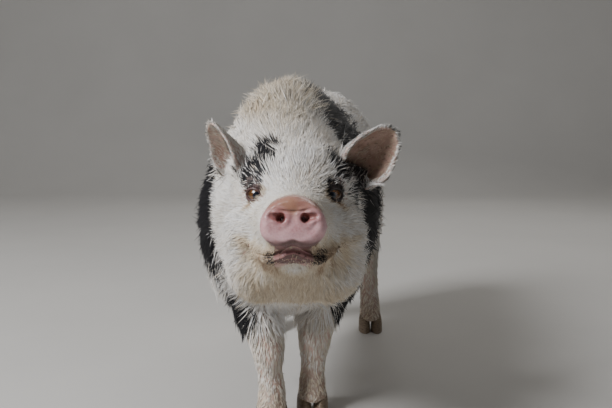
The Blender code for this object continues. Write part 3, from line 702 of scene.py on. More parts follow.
def fineFace(local):
    muzzle = (local[:, 1] < -0.060) & (local[:, 2] > -0.090)
    mouth = (mouthDistance(local) < 0.014) & (np.abs(local[:, 0]) < 0.062)
    return muzzle | mouth | (eyeDistance(local) < eyes["lidReach"])


def finestFace(local):
    x, y, z = np.abs(local[:, 0]), local[:, 1], local[:, 2]
    nostrils = (y < -0.098) & (np.abs(z + 0.0295) < 0.0105) & (np.abs(x - 0.0170) < 0.0125)
    mouth = (mouthDistance(local) < 0.0055) & (x < 0.030)
    return nostrils | mouth | (eyeDistance(local) < 0.0170)


def mouthLine():
    half = [np.array(p) for p in face["parting"]]
    other = [p * np.array((-1, 1, 1)) for p in half[:0:-1]]
    return other + half


def mouthHeight(places):
    half = np.array(face["parting"])
    return np.interp(np.abs(places[:, 0]), half[:, 0], half[:, 2])


def lineDistance(places, line):
    # distance from a broken line, and the share of the way along it
    best = np.full(len(places), 9.0)
    where = np.zeros(len(places))
    for k, (a, b) in enumerate(zip(line, line[1:])):
        t = np.clip((places - a) @ (b - a) / ((b - a) @ (b - a)), 0, 1)
        distance = lengthOf(places - (a + t[:, None] * (b - a)))
        closer = distance < best
        best = np.where(closer, distance, best)
        where = np.where(closer, (k + t) / (len(line) - 1), where)
    return best, where


def mouthDistance(places):
    return lineDistance(places, mouthLine())[0]


# The face's finer forms, in the head's frame
face = {
    # ovals on the disc: place, half sizes and turn
    "nostril": ((0.0128, -0.0306), (0.0044, 0.0050), 24),
    # the pit is painted dark, as shade deep in the nostril
    "pit": ((0.0112, -0.0322), (0.0025, 0.0038), 24),  # the dark end of the nostril
    "wing": ((0.0186, -0.0298), (0.0068, 0.0034), 14),  # shallow groove that leads out of the nostril
    "relief": {  # depths and rises on and round the disc
        "nostril": 0.0060,
        "nostrilEdge": 0.0010,
        "wing": 0.0030,
        "wingEdge": 0.0007,
        "rim": 0.0010,
        "lowerPad": 0.0016,
        "crease": 0.0014,
        "upperPad": 0.0012,
        "upperCrease": 0.0008,
        "notch": 0.0030,
        "lobes": 0.0012,
        "folds": 0.0013,
    },
    "parting": (  # where the lips meet on the skin, from the middle to the corner
        (0.000, -0.0948, -0.0632),
        (0.009, -0.0938, -0.0655),
        (0.016, -0.0885, -0.0680),
        (0.023, -0.0825, -0.0698),
        (0.030, -0.0715, -0.0706),
        (0.038, -0.0570, -0.0695),
        (0.047, -0.0410, -0.0655),
        (0.060, -0.0200, -0.0580),
    ),
    "mouthDepth": 0.0036,
    "mouthHalf": 0.0021,
    "gapDepth": 0.0016,
    "chinLift": 0.0016,
    "upperLift": 0.0006,
    "chinCrease": 0.0011,
}


def onDisc(local, part):
    # 1 on the edge of an oval on the disc, seen from the front
    place, half, degrees = face[part]
    c, s = math.cos(math.radians(degrees)), math.sin(math.radians(degrees))
    share = []
    for side in (-1, 1):
        x, z = local[:, 0] * side - place[0], local[:, 2] - place[1]
        share.append(np.sqrt(((c * x + s * z) / half[0]) ** 2 + ((-s * x + c * z) / half[1]) ** 2))
    return np.minimum(*share)


def sculptDisc(local):
    relief = face["relief"]
    front = softStep(-0.097, -0.106, local[:, 1])
    x, z = np.abs(local[:, 0]), local[:, 2]
    nostril, wing = onDisc(local, "nostril"), onDisc(local, "wing")
    push = -relief["nostrilEdge"] * band(nostril, 1.9, 0.9)
    push -= relief["wingEdge"] * band(wing, 1.7, 0.8)
    push += relief["wing"] * softStep(1.5, 0.2, wing)
    push += relief["nostril"] * softStep(1.25, 0.55, nostril)
    rimShare = np.sqrt((x / 0.0335) ** 2 + ((z + 0.036) / np.where(z > -0.036, 0.0290, 0.0225)) ** 2)
    push -= relief["rim"] * band(rimShare, 0.86, 0.22)
    push -= relief["lowerPad"] * hump(np.hypot(x / 1.25, z + 0.046), 0.017)
    push += relief["crease"] * hump(np.abs(z + 0.0240 - 9.0 * x**2), 0.0026) * softStep(0.022, 0.012, x)
    push -= relief["upperPad"] * hump(np.hypot(x / 1.5, z + 0.0165), 0.0085)
    push += relief["upperCrease"] * hump(np.abs(z + 0.0105 + 9.0 * x**2), 0.0022) * (x < 0.018)
    local[:, 1] += push * front
    notch = hump(x, 0.0105) * softStep(-0.040, -0.060, z) * softStep(-0.089, -0.098, local[:, 1])
    local[:, 2] += relief["notch"] * notch
    lobes = band(x, 0.020, 0.013) * softStep(-0.046, -0.060, z)
    local[:, 2] -= relief["lobes"] * (lobes * softStep(-0.088, -0.100, local[:, 1]))
    # folds of skin that ring the muzzle behind the disc
    ring = band(local[:, 1], -0.0845, 0.0040) - 0.7 * band(local[:, 1], -0.0775, 0.0045)
    above = softStep(-0.055, -0.030, z)
    inward = unitOf(np.stack([local[:, 0], np.zeros(len(x)), z + 0.036], axis=1))
    local -= inward * (relief["folds"] * ring * above)[:, None]
    return local


def sculptMouth(local, normals):
    distance, where = lineDistance(local, mouthLine())
    aside = np.abs(local[:, 0])
    middle = hump(aside, 0.013)
    taper = softStep(0.0, 0.16, where) * softStep(1.0, 0.84, where)
    below = local[:, 2] < mouthHeight(local)
    half = face["mouthHalf"] * (1 + 0.5 * middle)
    push = -(face["mouthDepth"] + face["gapDepth"] * middle) * hump(distance, half * 1.6) * taper
    swell = band(distance, 0.0052, 0.0042) * taper * (aside < 0.045)
    lowerLift = face["chinLift"] * (0.6 + 0.8 * hump(aside, 0.026))
    push += np.where(below, lowerLift, face["upperLift"]) * swell
    crease = band(distance, 0.0115, 0.0022) * below * hump(aside, 0.024)
    push -= face["chinCrease"] * crease
    return local + normals * push[:, None]


def sculptEyes(local):
    radius, reach = eyes["radius"], eyes["lidReach"]
    for side in (-1, 1):
        away = eyeAway(local, side)
        distance = lengthOf(away)
        near = (distance < reach) & (away[:, 1] < -0.001)
        share = openingShare(away, side)
        settle = softStep(2.9, 1.25, share) * softStep(reach, 0.0175, distance) * near
        wanted = radius + 0.0019 + 0.0012 * softStep(1.3, 2.2, share)
        for upper, rise, place, half in eyes["folds"]:
            wanted += np.where((away[:, 2] > 0) == upper, rise, 0.0) * band(share, place, half)
        scale = 1 + (wanted / np.maximum(distance, 1e-6) - 1) * settle
        inside = near & (share < 1.06)
        scale = np.where(inside, (radius - 0.0045) / np.maximum(distance, 1e-6), scale)
        shaped = carried(away * scale[:, None], eyeFrame(side))
        local = np.where(near[:, None], shaped, local)
    return local


def sculptSkin(thing):
    mesh = thing.data
    places = placesOf(mesh)
    local = localOf(places)
    normals = normalsOf(mesh) @ np.array(headFrame.to_3x3())
    zone = (local[:, 1] < 0.03) & (local[:, 2] > -0.12) & (local[:, 2] < 0.06) & (places[:, 1] < -0.15)
    local[zone] = sculptEyes(sculptDisc(sculptMouth(local[zone], normals[zone])))
    setPlaces(mesh, carried(local, headFrame))
    mesh.shade_smooth()
    print("skin sculpted")


# Hooves: height, shift forward, half width and half depth of one claw
hooves = {
    "rows": (
        (0.0310, 0.0030, 0.0084, 0.0150),
        (0.0240, 0.0064, 0.0103, 0.0192),
        (0.0150, 0.0098, 0.0111, 0.0218),
        (0.0060, 0.0124, 0.0112, 0.0240),
        (0.0012, 0.0138, 0.0111, 0.0250),
        (0.0000, 0.0136, 0.0104, 0.0240),
    ),
    "powers": (2.0, 1.7),  # of the front and back of each ring's curve
    "spread": 0.0112,
    "cleft": 0.0016,
    "smooth": 40,
    "dewclawAside": 0.0095,
    "dewclawBack": {"fore": 0.013, "hind": 0.018},
    "dewclawHeight": 0.049,
    "dewclawSmooth": 50,
    "dewclawLength": 0.021,
    "dewclawWay": (0.22, 0.55, -0.80),
    "dewclawRadii": (0.0062, 0.0060, 0.0046, 0.0022),
    "dewclawShares": (0.0, 0.55, 0.85, 1.0),
}


def buildClaw(name, foot, side):
    rings = []
    for z, shift, wide, deep in finer(hooves["rows"], 3):
        centre = (foot[0] + side * hooves["spread"], foot[1] - shift, max(0.0, z))
        rings.append((centre, (1, 0, 0), (0, 1, 0), (wide, deep, deep, *hooves["powers"])))
    claw = addSweep(name, rings, 40)
    edge = foot[0] + side * hooves["cleft"]
    for v in claw.data.vertices:
        if (v.co.x - edge) * side < 0:
            v.co.x = edge
    smoothBelow(claw, hooves["smooth"])
    return claw


def buildDewclaw(name, foot, side, back):
    aside, height = side * hooves["dewclawAside"], hooves["dewclawHeight"]
    root = Vector((foot[0] + aside, foot[1] + back, height))
    x, y, z = hooves["dewclawWay"]
    way = Vector((x * side, y, z)).normalized()
    path = [root + way * hooves["dewclawLength"] * share for share in hooves["dewclawShares"]]
    thing = taperedTube(name, path, hooves["dewclawRadii"])
    smoothBelow(thing, hooves["dewclawSmooth"])
    return thing


def addGaze(mesh, away):
    # how far each place is from the middle of the pupil, and on which side of it
    turn = unitOf(away * np.array((1, 0, 1)))
    angle = np.arccos(np.clip(-away[:, 1] / lengthOf(away), -1, 1))
    facts = np.stack([turn[:, 0], turn[:, 2], angle], axis=1)
    layer = mesh.attributes.new("gaze", "FLOAT_VECTOR", "POINT")
    layer.data.foreach_set("vector", facts.astype(np.float32).ravel())
    return angle


def buildEye(name, side):
    sizes = {"segments": 64, "ring_count": 40, "radius": eyes["radius"]}
    ball = addFresh(name, bpy.ops.mesh.primitive_uv_sphere_add, **sizes)
    places = placesOf(ball.data)
    away = np.stack([places[:, 0], -places[:, 2], places[:, 1]], axis=1)
    angle = addGaze(ball.data, away)
    bulge = eyes["cornea"] * softStep(eyes["irisAngle"] * 1.2, 0, angle)
    setPlaces(ball.data, away * (1 + bulge / eyes["radius"])[:, None])
    ball.data.transform(headFrame @ eyeFrame(side, "looks"))
    ball.data.shade_smooth()
    return ball


def openingEdge(turn, side, share=1.0):
    # ways from the middle of the ball to the edge of the opening
    wide = np.where(np.cos(turn) > 0, *eyes["openWidth"]) * share
    high = np.where(np.sin(turn) > 0, *eyes["openHeight"]) * share
    x, z = wide * np.cos(turn), high * np.sin(turn)
    z = z - 0.10 * np.clip(-x, 0, 1)
    return unitOf(np.stack([x * side, -np.ones(len(x)), z], axis=1))


def buildLids(name, side):
    thin = 0.1
    sizes = {"major_segments": 96, "minor_segments": 14, "major_radius": 1, "minor_radius": thin}
    lids = addFresh(name, bpy.ops.mesh.primitive_torus_add, **sizes)
    flat = placesOf(lids.data)
    turn = np.arctan2(flat[:, 1], flat[:, 0])
    aside, up = (np.hypot(flat[:, 0], flat[:, 1]) - 1) / thin, flat[:, 2] / thin
    way = openingEdge(turn, side, 1.07)
    outward = unitOf(openingEdge(turn, side, 1.15) - way)
    upper = softStep(-0.2, 0.6, np.sin(turn))
    thick = eyes["lidThickness"] * (0.85 + 0.35 * upper)
    wide = eyes["lidThickness"] * (1.25 + 0.45 * upper)
    places = way * (eyes["radius"] + 0.0007 + up * thick)[:, None] + outward * (aside * wide)[:, None]
    setPlaces(lids.data, places)
    lids.data.transform(headFrame @ eyeFrame(side))
    editAll(lids, bpy.ops.mesh.normals_make_consistent, inside=False)
    lids.data.shade_smooth()
    return lids


# The markings, on the skin and on the coat alike. Places are in the head's frame,
# or for the body aside of the spine, along Y and up.
markings = {
    "headPatches": (
        # place, half sizes, and how many of the hairs are black
        ((-0.032, 0.022, 0.044), (0.014, 0.036, 0.028), 0.92),
        ((-0.054, 0.004, 0.025), (0.031, 0.036, 0.020), 0.84),
        ((0.052, 0.022, 0.038), (0.019, 0.042, 0.027), 0.90),
        ((0.079, 0.040, 0.008), (0.018, 0.045, 0.050), 0.90),
        ((0.0400, -0.006, 0.002), (0.0205, 0.021, 0.0180), 0.85),
    ),
    "mouthSpots": (  # dark hairs scattered at the dips of the mouth
        ((-0.022, -0.073, -0.071), (0.014, 0.016, 0.009)),
        ((0.027, -0.072, -0.069), (0.016, 0.016, 0.013)),
    ),
    "bodyPatches": (
        ((-0.12, 0.06, 0.300), (0.086, 0.250, 0.097)),
        ((0.10, 0.11, 0.300), (0.075, 0.170, 0.130)),
        ((0.066, 0.10, 0.420), (0.053, 0.155, 0.062)),
        ((-0.02, 0.22, 0.440), (0.090, 0.065, 0.090)),
        ((-0.064, -0.045, 0.163), (0.024, 0.050, 0.030)),
        ((0.098, 0.005, 0.168), (0.030, 0.055, 0.036)),
    ),
    "spotStrength": 0.66,
    "edge": 0.30,
    "pepper": 0.50,  # grey tufts on the hump
    "tears": ((0.0495, -0.0130, -0.0135), (0.0135, 0.0130, 0.0075)),
    "chin": ((0.0, -0.010, -0.112), (0.072, 0.070, 0.042)),
}


def patchShare(places, centre, radii):
    return lengthOf((places - np.array(centre)) / np.array(radii))


def blackAt(places, local):
    wobble = 0.16 * ripple(places, 0.055, 3) + 0.10 * ripple(places, 0.020, 4)
    soft = (1 + markings["edge"], 1 - markings["edge"])
    black = np.zeros(len(places))
    onHead = headShare(places)
    for centre, radii, strength in markings["headPatches"]:
        share = softStep(*soft, patchShare(local, centre, radii) + wobble)
        black = np.maximum(black, strength * onHead * share)
    aside = places.copy()
    aside[:, 0] = asideOf(places)
    for centre, radii in markings["bodyPatches"]:
        share = softStep(*soft, patchShare(aside, centre, radii) + wobble)
        black = np.maximum(black, (1 - onHead) * share)
    black = np.maximum(black, 0.45 * softStep(1.05, 0.70, socketShare(local, -1)))
    for centre, radii in markings["mouthSpots"]:
        share = softStep(1.3, 0.5, patchShare(local, centre, radii) + wobble)
        black = np.maximum(black, markings["spotStrength"] * onHead * share)
    return black


def tearsAt(local):
    centre, radii = markings["tears"]
    folded = local.copy()
    folded[:, 0] = np.abs(folded[:, 0])
    return softStep(1.3, 0.5, patchShare(folded, centre, radii))


def socketShare(local, side):
    # the dark skin round an eye
    away = local - np.array(mirrored(eyes["socket"], side))
    return lengthOf(away / np.array(eyes["socketHalf"]))


def bareSocket(local):
    # the thin-haired skin round the opening of the lids
    aside = np.abs(local[:, 0]) - eyes["place"][0]
    share = np.hypot(aside / np.where(aside < 0, *eyes["bareWide"]), local[:, 2] / eyes["bareHigh"])
    return (share < 1) & (local[:, 1] < 0.012)


def mouthStain(local):
    # hair and skin stained by food, along the mouth
    return softStep(0.026, 0.004, mouthDistance(local) + 0.006 * ripple(local, 0.022, 12))


def chinAt(local):
    centre, radii = markings["chin"]
    return softStep(1.4, 0.6, patchShare(local, centre, radii) + 0.2 * ripple(local, 0.03, 9))


def paintAttribute(mesh, name, colours):
    layer = mesh.attributes.new(name, "FLOAT_COLOR", "POINT")
    layer.data.foreach_set("color", colours.astype(np.float32).ravel())


def markSkin(thing, earMap):
    mesh = thing.data
    places = placesOf(mesh)
    local = localOf(places)
    x, y, z = np.abs(local[:, 0]), local[:, 1], local[:, 2]
    ear = earMap.read(places)
    onEar = ear["near"] < 0.008
    inEar = onEar * softStep(0.0, 0.0015, ear["side"]) * softStep(0.99, 0.90, np.abs(ear["v"]))
    inEar = inEar * np.where(places[:, 0] < 0, 0.55, 1.0)
    # the disc, its tan upper edge and the lips
    disc = softStep(-0.085, -0.090, y) * softStep(-0.0655, -0.0620, z)
    lowered = 0.006 * hump(x, 0.012)
    tan = disc * softStep(-0.029, -0.016, z + lowered + 0.002 * ripple(local, 0.012, 5))
    fromMouth = mouthDistance(local)
    below = z < mouthHeight(local)
    lip = softStep(0.0220, 0.0140, fromMouth) * below * softStep(0.027, 0.019, x)
    lip += softStep(0.008, 0.005, fromMouth) * ~below * softStep(0.022, 0.016, x)
    lip *= 1 - disc
    # the nostrils' red skin, and painted shade in their dark ends and in the dark line of the mouth
    front = softStep(-0.090, -0.096, y)
    hole, wing, pit = (onDisc(local, part) for part in ("nostril", "wing", "pit"))
    red = front * softStep(1.5, 0.8, np.minimum(wing, hole * 0.9))
    red = np.maximum(red, 0.38 * front * softStep(3.2, 1.0, np.minimum(wing, hole)))
    mouth = hump(fromMouth, 0.0040) * softStep(0.066, 0.055, x)
    # painted shade: the dark ends of the nostrils and the parting of the lips
    dark = np.maximum(0.80 * front * softStep(1.25, 0.75, pit), 0.95 * mouth)
    # black patches, dark sockets and painted shade on the skin under the disc
    black = blackAt(places, local) * (1 - onEar)
    black = np.maximum(black, 0.80 * softStep(1.25, 0.75, socketShare(local, 1)))
    shadow = softStep(1.25, 0.60, np.minimum(*[socketShare(local, side) for side in (-1, 1)]))
    downward = -(normalsOf(mesh) @ np.array(headFrame.to_3x3()))[:, 2]
    # painted shade: skin under the disc that faces down is darkened
    shadeUnderDisc = softStep(0.35, 0.75, downward) * (y < -0.078) * softStep(0.034, 0.024, x)
    dirt = softStep(0.10, 0.02, places[:, 2])
    layers = {
        "marks": (black, np.maximum(disc, lip), tan, dark),
        "zones": (red, inEar, dirt, lip),
        # the last channel of the shades is painted shade under the disc
        "shades": (shadow, mouthStain(local), tearsAt(local), shadeUnderDisc),
    }
    for name, values in layers.items():
        paintAttribute(mesh, name, np.stack(values, axis=1))


# The coat: tufts and rings of each piece
coat = {
    "pieces": {
        "coatFace": (19500, 2),
        "coatForehead": (15500, 2),
        "coatJowlLeft": (15500, 2),
        "coatJowlRight": (15500, 2),
        "coatNeck": (13000, 2),
        "coatCrest": (15500, 2),
        "coatFlankLeft": (13700, 2),
        "coatFlankRight": (13700, 2),
        "coatBelly": (4000, 2),
        "coatLegs": (12500, 2),
        "coatEars": (9500, 2),
        "coatTail": (1300, 3),
    },
    "muzzleStart": (0.0, -0.100, -0.035),
    "faceReach": 0.085,
    "sunk": 0.0015,
    "patch": 0.0015,  # half the size of a tuft's patch on the unwrap
    "softness": 0.62,  # how far the light falls on a tuft as on the skin under it
    "clump": 11,
    "strays": 0.05,
    "headPieces": ("coatFace", "coatForehead", "coatJowlLeft", "coatJowlRight"),
    "sizes": {  # length, lift and width of the tufts of the other pieces
        "coatNeck": (0.034, 0.24, 0.0013),
        "coatCrest": (0.043, 0.40, 0.0012),
        "coatFlankLeft": (0.040, 0.12, 0.0025),
        "coatFlankRight": (0.040, 0.12, 0.0025),
        "coatBelly": (0.032, 0.12, 0.0021),
        "coatLegs": (0.015, 0.12, 0.0017),
        "coatEars": (0.009, 0.20, 0.0008),
        "coatTail": (0.030, 0.06, 0.0014),
    },
    "crestHeight": 0.402,
    "crestEnd": 0.17,
    "neckEnd": 0.02,
    "chestTop": 0.27,
    "rumpStart": 0.44,
    "bellyTop": 0.22,
    "bellyTurn": -0.55,  # how far the skin of the belly faces down
    "foreLegsEnd": 0.10,
    "hindLegsStart": 0.34,
    "legPieceTops": (0.145, 0.185),  # of fore and hind legs
    "legLieTops": (0.17, 0.20),
    "earReach": 0.006,
    "cupSide": 0.0005,
    "cupWidth": 0.80,
    "ringShares": {2: (0.0, 0.5), 3: (0.0, 0.36, 0.72)},
    "ringWidths": {2: (0.75, 0.95), 3: (0.7, 1.0, 0.72)},
}


def onBelly(places, normals):
    return (normals[:, 2] < coat["bellyTurn"]) & (places[:, 2] < coat["bellyTop"])


def onLegs(places, foreTop, hindTop):
    fore = (places[:, 2] < foreTop) & (places[:, 1] < coat["foreLegsEnd"])
    hind = (places[:, 2] < hindTop) & (places[:, 1] > coat["hindLegsStart"])
    return fore | hind


def fromMuzzle(local):
    return lengthOf(local - np.array(coat["muzzleStart"]))


def pieceOf(places, local, normals, ear):
    # the coat piece that each place belongs to
    names = np.full(len(places), "coatFlankLeft", dtype="<U16")
    names[asideOf(places) < 0] = "coatFlankRight"
    names[onBelly(places, normals)] = "coatBelly"
    names[places[:, 1] < coat["neckEnd"]] = "coatNeck"
    names[(places[:, 2] > coat["crestHeight"]) & (places[:, 1] < coat["crestEnd"])] = "coatCrest"
    names[onLegs(places, *coat["legPieceTops"])] = "coatLegs"
    onHead = headShare(places) > 0.5
    names[onHead & (local[:, 0] >= 0)] = "coatJowlLeft"
    names[onHead & (local[:, 0] < 0)] = "coatJowlRight"
    names[onHead & (local[:, 2] > 0.010)] = "coatForehead"
    names[onHead & (fromMuzzle(local) < coat["faceReach"])] = "coatFace"
    names[(ear["near"] < coat["earReach"]) & (ear["u"] > 0.04)] = "coatEars"
    names[onTail(places)] = "coatTail"
    return names


class Ground:
    # the skin as numbers, for growing the coat on it
    def __init__(self, thing, earMap):
        mesh = thing.data
        mesh.calc_loop_triangles()
        count = len(mesh.loop_triangles)
        corners, loops = np.empty(count * 3, np.int32), np.empty(count * 3, np.int32)
        mesh.loop_triangles.foreach_get("vertices", corners)
        mesh.loop_triangles.foreach_get("loops", loops)
        flat = np.empty(len(mesh.loops) * 2, np.float32)
        mesh.uv_layers["OFBake"].data.foreach_get("uv", flat)
        self.places, self.normals = placesOf(mesh), normalsOf(mesh)
        self.corners, self.loops = corners.reshape(-1, 3), loops.reshape(-1, 3)
        self.unwrap = flat.reshape(-1, 2)
        starts = np.empty(len(mesh.polygons), np.int32)
        mesh.polygons.foreach_get("loop_start", starts)
        self.faceUnwrap = self.unwrap[starts]
        a, b, c = (self.places[self.corners[:, k]] for k in range(3))
        self.areas = lengthOf(np.cross(b - a, c - a)) / 2
        self.middles = (a + b + c) / 3
        middleNormals = self.normals[self.corners].mean(axis=1)
        self.ear = earMap.read(self.middles)
        local = localOf(self.middles)
        self.names = pieceOf(self.middles, local, middleNormals, self.ear)
        self.density = densityAt(self.middles, local, self.ear)
        self.earMap = earMap
        self.tree = BVHTree.FromObject(thing, bpy.context.evaluated_depsgraph_get())

    def roots(self, name, count, chance):
        share = np.cumsum(self.areas * self.density * (self.names == name))
        chosen = np.searchsorted(share, chance.random(count) * share[-1])
        r, t = np.sqrt(chance.random(count)), chance.random(count)
        weights = np.stack([1 - r, r * (1 - t), r * t], axis=1)[..., None]
        places = (self.places[self.corners[chosen]] * weights).sum(axis=1)
        normals = unitOf((self.normals[self.corners[chosen]] * weights).sum(axis=1))
        unwrap = (self.unwrap[self.loops[chosen]] * weights).sum(axis=1)
        return places, normals, unwrap

    def unwrapAt(self, places):
        # the unwrap at the nearest face
        return np.array([self.faceUnwrap[self.tree.find_nearest(place)[2]] for place in places])

    def nearest(self, places):
        found, normals = np.empty_like(places), np.empty_like(places)
        for k, place in enumerate(places):
            found[k], normals[k] = self.tree.find_nearest(place)[:2]
        return found, normals


def inCup(ear, width):
    # on the hollow side of the ear, as far as this share of its half width
    return (ear["side"] > coat["cupSide"]) & (np.abs(ear["v"]) < width)


# How full the coat is: places or distances, and shares of its fullness
fullness = {
    "muzzle": ((0.03, 0.06, 0.085), (2.4, 1.6, 1.0)),
    "mouthBare": ((0.018, 0.023), (0.0035, 0.0012)),  # half of the bare strip, by the place aside
    "lowerLip": 0.035,
    "eyeReach": 0.020,
    "eyeBare": (1.75, 1.27),  # shares of the opening, towards the nose and the temple
    "socket": 0.22,
    "cups": (0.70, 0.26),  # of the right and the left ear
    "hoofTop": 0.0215,
}


def densityAt(places, local, ear):
    # 1 where the coat is full, 0 where the skin is bare
    x, y, z = np.abs(local[:, 0]), local[:, 1], local[:, 2]
    onHead = headShare(places) > 0.5
    full = np.where(onHead, np.interp(fromMuzzle(local), *fullness["muzzle"]), 1.0)
    distance = mouthDistance(local)
    full[distance < np.interp(x, *fullness["mouthBare"])] = 0
    full[(distance < 0.0185) & (x < 0.020) & (z < -0.060) & onHead] *= fullness["lowerLip"]
    for side in (-1, 1):
        away = eyeAway(local, side)
        near = lengthOf(away) < fullness["eyeReach"]
        edge = np.where(away[:, 0] * side < 0.002, *fullness["eyeBare"])
        full[near & (openingShare(away, side) < edge)] = 0
    full[bareSocket(local) & onHead] *= fullness["socket"]
    onFront = (y < -0.0855) & ((z > -0.0590) | (y < -0.096))
    full[onFront] = 0
    inside = (ear["near"] < coat["earReach"]) & inCup(ear, coat["cupWidth"])
    full[inside] = np.where(places[inside, 0] < 0, *fullness["cups"])
    full[places[:, 2] < fullness["hoofTop"]] = 0
    return full


def columns(*values):
    return np.stack(np.broadcast_arrays(*values), axis=1)


def lieAt(places, local, normals, ear):
    # the way that the hair lies
    aside = asideOf(places)
    onHead = headShare(places)
    back = columns(0.25 * aside / 0.07, 1.0, 0.15)
    way = columns(0.0, 1.0, -0.45 * np.minimum(1, np.abs(aside) / 0.1))
    chest = (places[:, 1] < coat["neckEnd"]) & (places[:, 2] < coat["chestTop"]) & (onHead < 0.5)
    # on the head the hair runs back from the muzzle, up the forehead and down the jowls
    out = local - np.array((0, -0.080, -0.030))
    out[:, 1] = np.maximum(0.6 * out[:, 1], 0.02)
    out += np.array((0, 0.02, 0.02)) * softStep(0.01, 0.04, local[:, 2])[:, None]
    out += np.array((0, 0.02, -0.02)) * softStep(-0.04, -0.07, local[:, 2])[:, None]
    fromNose = unitOf(out) @ np.array(headFrame.to_3x3()).T
    across = np.cross(ear["axis"], ear["inward"])
    upEar = ear["axis"] + across * (0.9 * ear["v"] * np.abs(ear["v"]))[:, None]
    ways = (
        (places[:, 2] > coat["crestHeight"], back),
        (chest, columns(0.3 * aside / 0.07, 0.35, -0.9)),
        (places[:, 1] > coat["rumpStart"], np.array((0, 0.5, -0.9))),
        (onTail(places), np.array((0, 0.0, -1.0))),
        (onBelly(places, normals), columns(0.2 * aside / 0.1, 1.0, 0.0)),
        (onLegs(places, *coat["legLieTops"]), np.array((0, 0.12, -1))),
        (onHead > 0.5, fromNose),
        (ear["near"] < coat["earReach"], upEar),
    )
    for zone, wanted in ways:
        way = np.where(zone[:, None], wanted, way)
    return unitOf(way - partAlong(way, normals))


# Sizes of tufts by distance or height
sizesAlong = {
    "muzzle": (
        (0.030, 0.045, 0.060, 0.085, 0.100, 0.130, 0.150, 0.200),
        (0.004, 0.006, 0.010, 0.014, 0.020, 0.027, 0.030, 0.032),
    ),
    "eye": ((0.014, 0.020, 0.032), (0.004, 0.008, 0.027)),
    "mouth": ((0.003, 0.012, 0.030), (0.0045, 0.009, 0.030)),
    "lift": ((0.04, 0.09, 0.14), (0.20, 0.28, 0.32)),
    "width": ((0.005, 0.030), (0.0007, 0.0010)),  # by the length
    "leg": ((0.02, 0.06, 0.18), (0.006, 0.011, 0.022)),
}


def sizesAt(name, places, local, ear):
    # length, lift and width of the tufts
    if name in coat["headPieces"]:
        reach, eye = fromMuzzle(local), eyeDistance(local)
        length = np.interp(reach, *sizesAlong["muzzle"])
        length = np.minimum(length, np.interp(eye, *sizesAlong["eye"]))
        towardsNose = (np.abs(local[:, 0]) < eyes["place"][0]) & (local[:, 2] < 0.014)
        short = np.minimum(length, np.maximum(0.003, (eye - 0.0125) * 0.9))
        length = np.where(towardsNose, short, length)
        length = np.minimum(length, np.interp(mouthDistance(local), *sizesAlong["mouth"]))
        return length, np.interp(reach, *sizesAlong["lift"]), np.interp(length, *sizesAlong["width"])
    length, lift, width = (np.full(len(places), value) for value in coat["sizes"][name])
    if name == "coatCrest":
        lift = lift * (0.40 + 0.60 * softStep(0.065, 0.020, np.abs(asideOf(places))))
        rear = softStep(0.06, coat["crestEnd"], places[:, 1])
        length, lift, width = length - 0.004 * rear, lift - 0.24 * rear, width + 0.0008 * rear
    if name == "coatLegs":
        length = np.interp(places[:, 2], *sizesAlong["leg"])
    if name == "coatTail":
        end = softStep(0.34, 0.26, places[:, 2])
        length, width = 0.013 + 0.040 * end, 0.0012 + 0.0005 * end
    if name == "coatEars":
        length = length * np.where(np.abs(ear["v"]) > coat["cupWidth"], 0.60, 1.0)
        width = np.where(inCup(ear, coat["cupWidth"]), 0.0005, width)
    return length, lift, width


def tintAt(name, places, local, ear, chance):
    # black, warm and shade of each tuft
    count = len(places)
    black = (blackAt(places, local) > chance.random(count) * 0.83 + 0.14).astype(float)
    onEar = ear["near"] < coat["earReach"]
    black[onEar] = 0
    inEar = onEar & inCup(ear, 0.78)
    warm = 0.10 + 0.10 * chance.normal(size=count) + 0.08 * ripple(places, 0.045, 21)
    if name in coat["headPieces"]:
        warm += 0.42 * chinAt(local) + 0.80 * tearsAt(local) + 0.52 * mouthStain(local)
        warm += 0.12 * softStep(0.10, 0.05, fromMuzzle(local))
    warm[inEar] += np.where(places[inEar, 0] < 0, 0.15, 0.45)
    socket = bareSocket(local) & (ear["near"] > coat["earReach"])
    warm[socket] += 0.45
    shade = np.clip(0.5 + 0.22 * chance.normal(size=count) + 0.12 * ripple(places, 0.03, 22), 0, 1)
    shade[socket] -= 0.35
    if name in ("coatCrest", "coatForehead", "coatNeck"):
        middle = softStep(0.075, 0.025, np.abs(asideOf(places) + 0.012))
        middle *= softStep(0.365, 0.425, places[:, 2])
        middle *= softStep(0.22, 0.08, places[:, 1])
        grey = chance.random(count) < markings["pepper"] * middle
        black = np.maximum(black, grey * chance.uniform(0.25, 0.6, count))
        warm += 0.32 * middle
    if name == "coatLegs":
        warm += 0.16 + 0.14 * softStep(0.10, 0.03, places[:, 2])
        shade = shade - 0.20
    return black, np.clip(warm, 0, 1), np.clip(shade, 0, 1)


def turnAbout(vectors, axes, angles):
    c, s = np.cos(angles)[:, None], np.sin(angles)[:, None]
    return vectors * c + np.cross(axes, vectors) * s + partAlong(vectors, axes) * (1 - c)


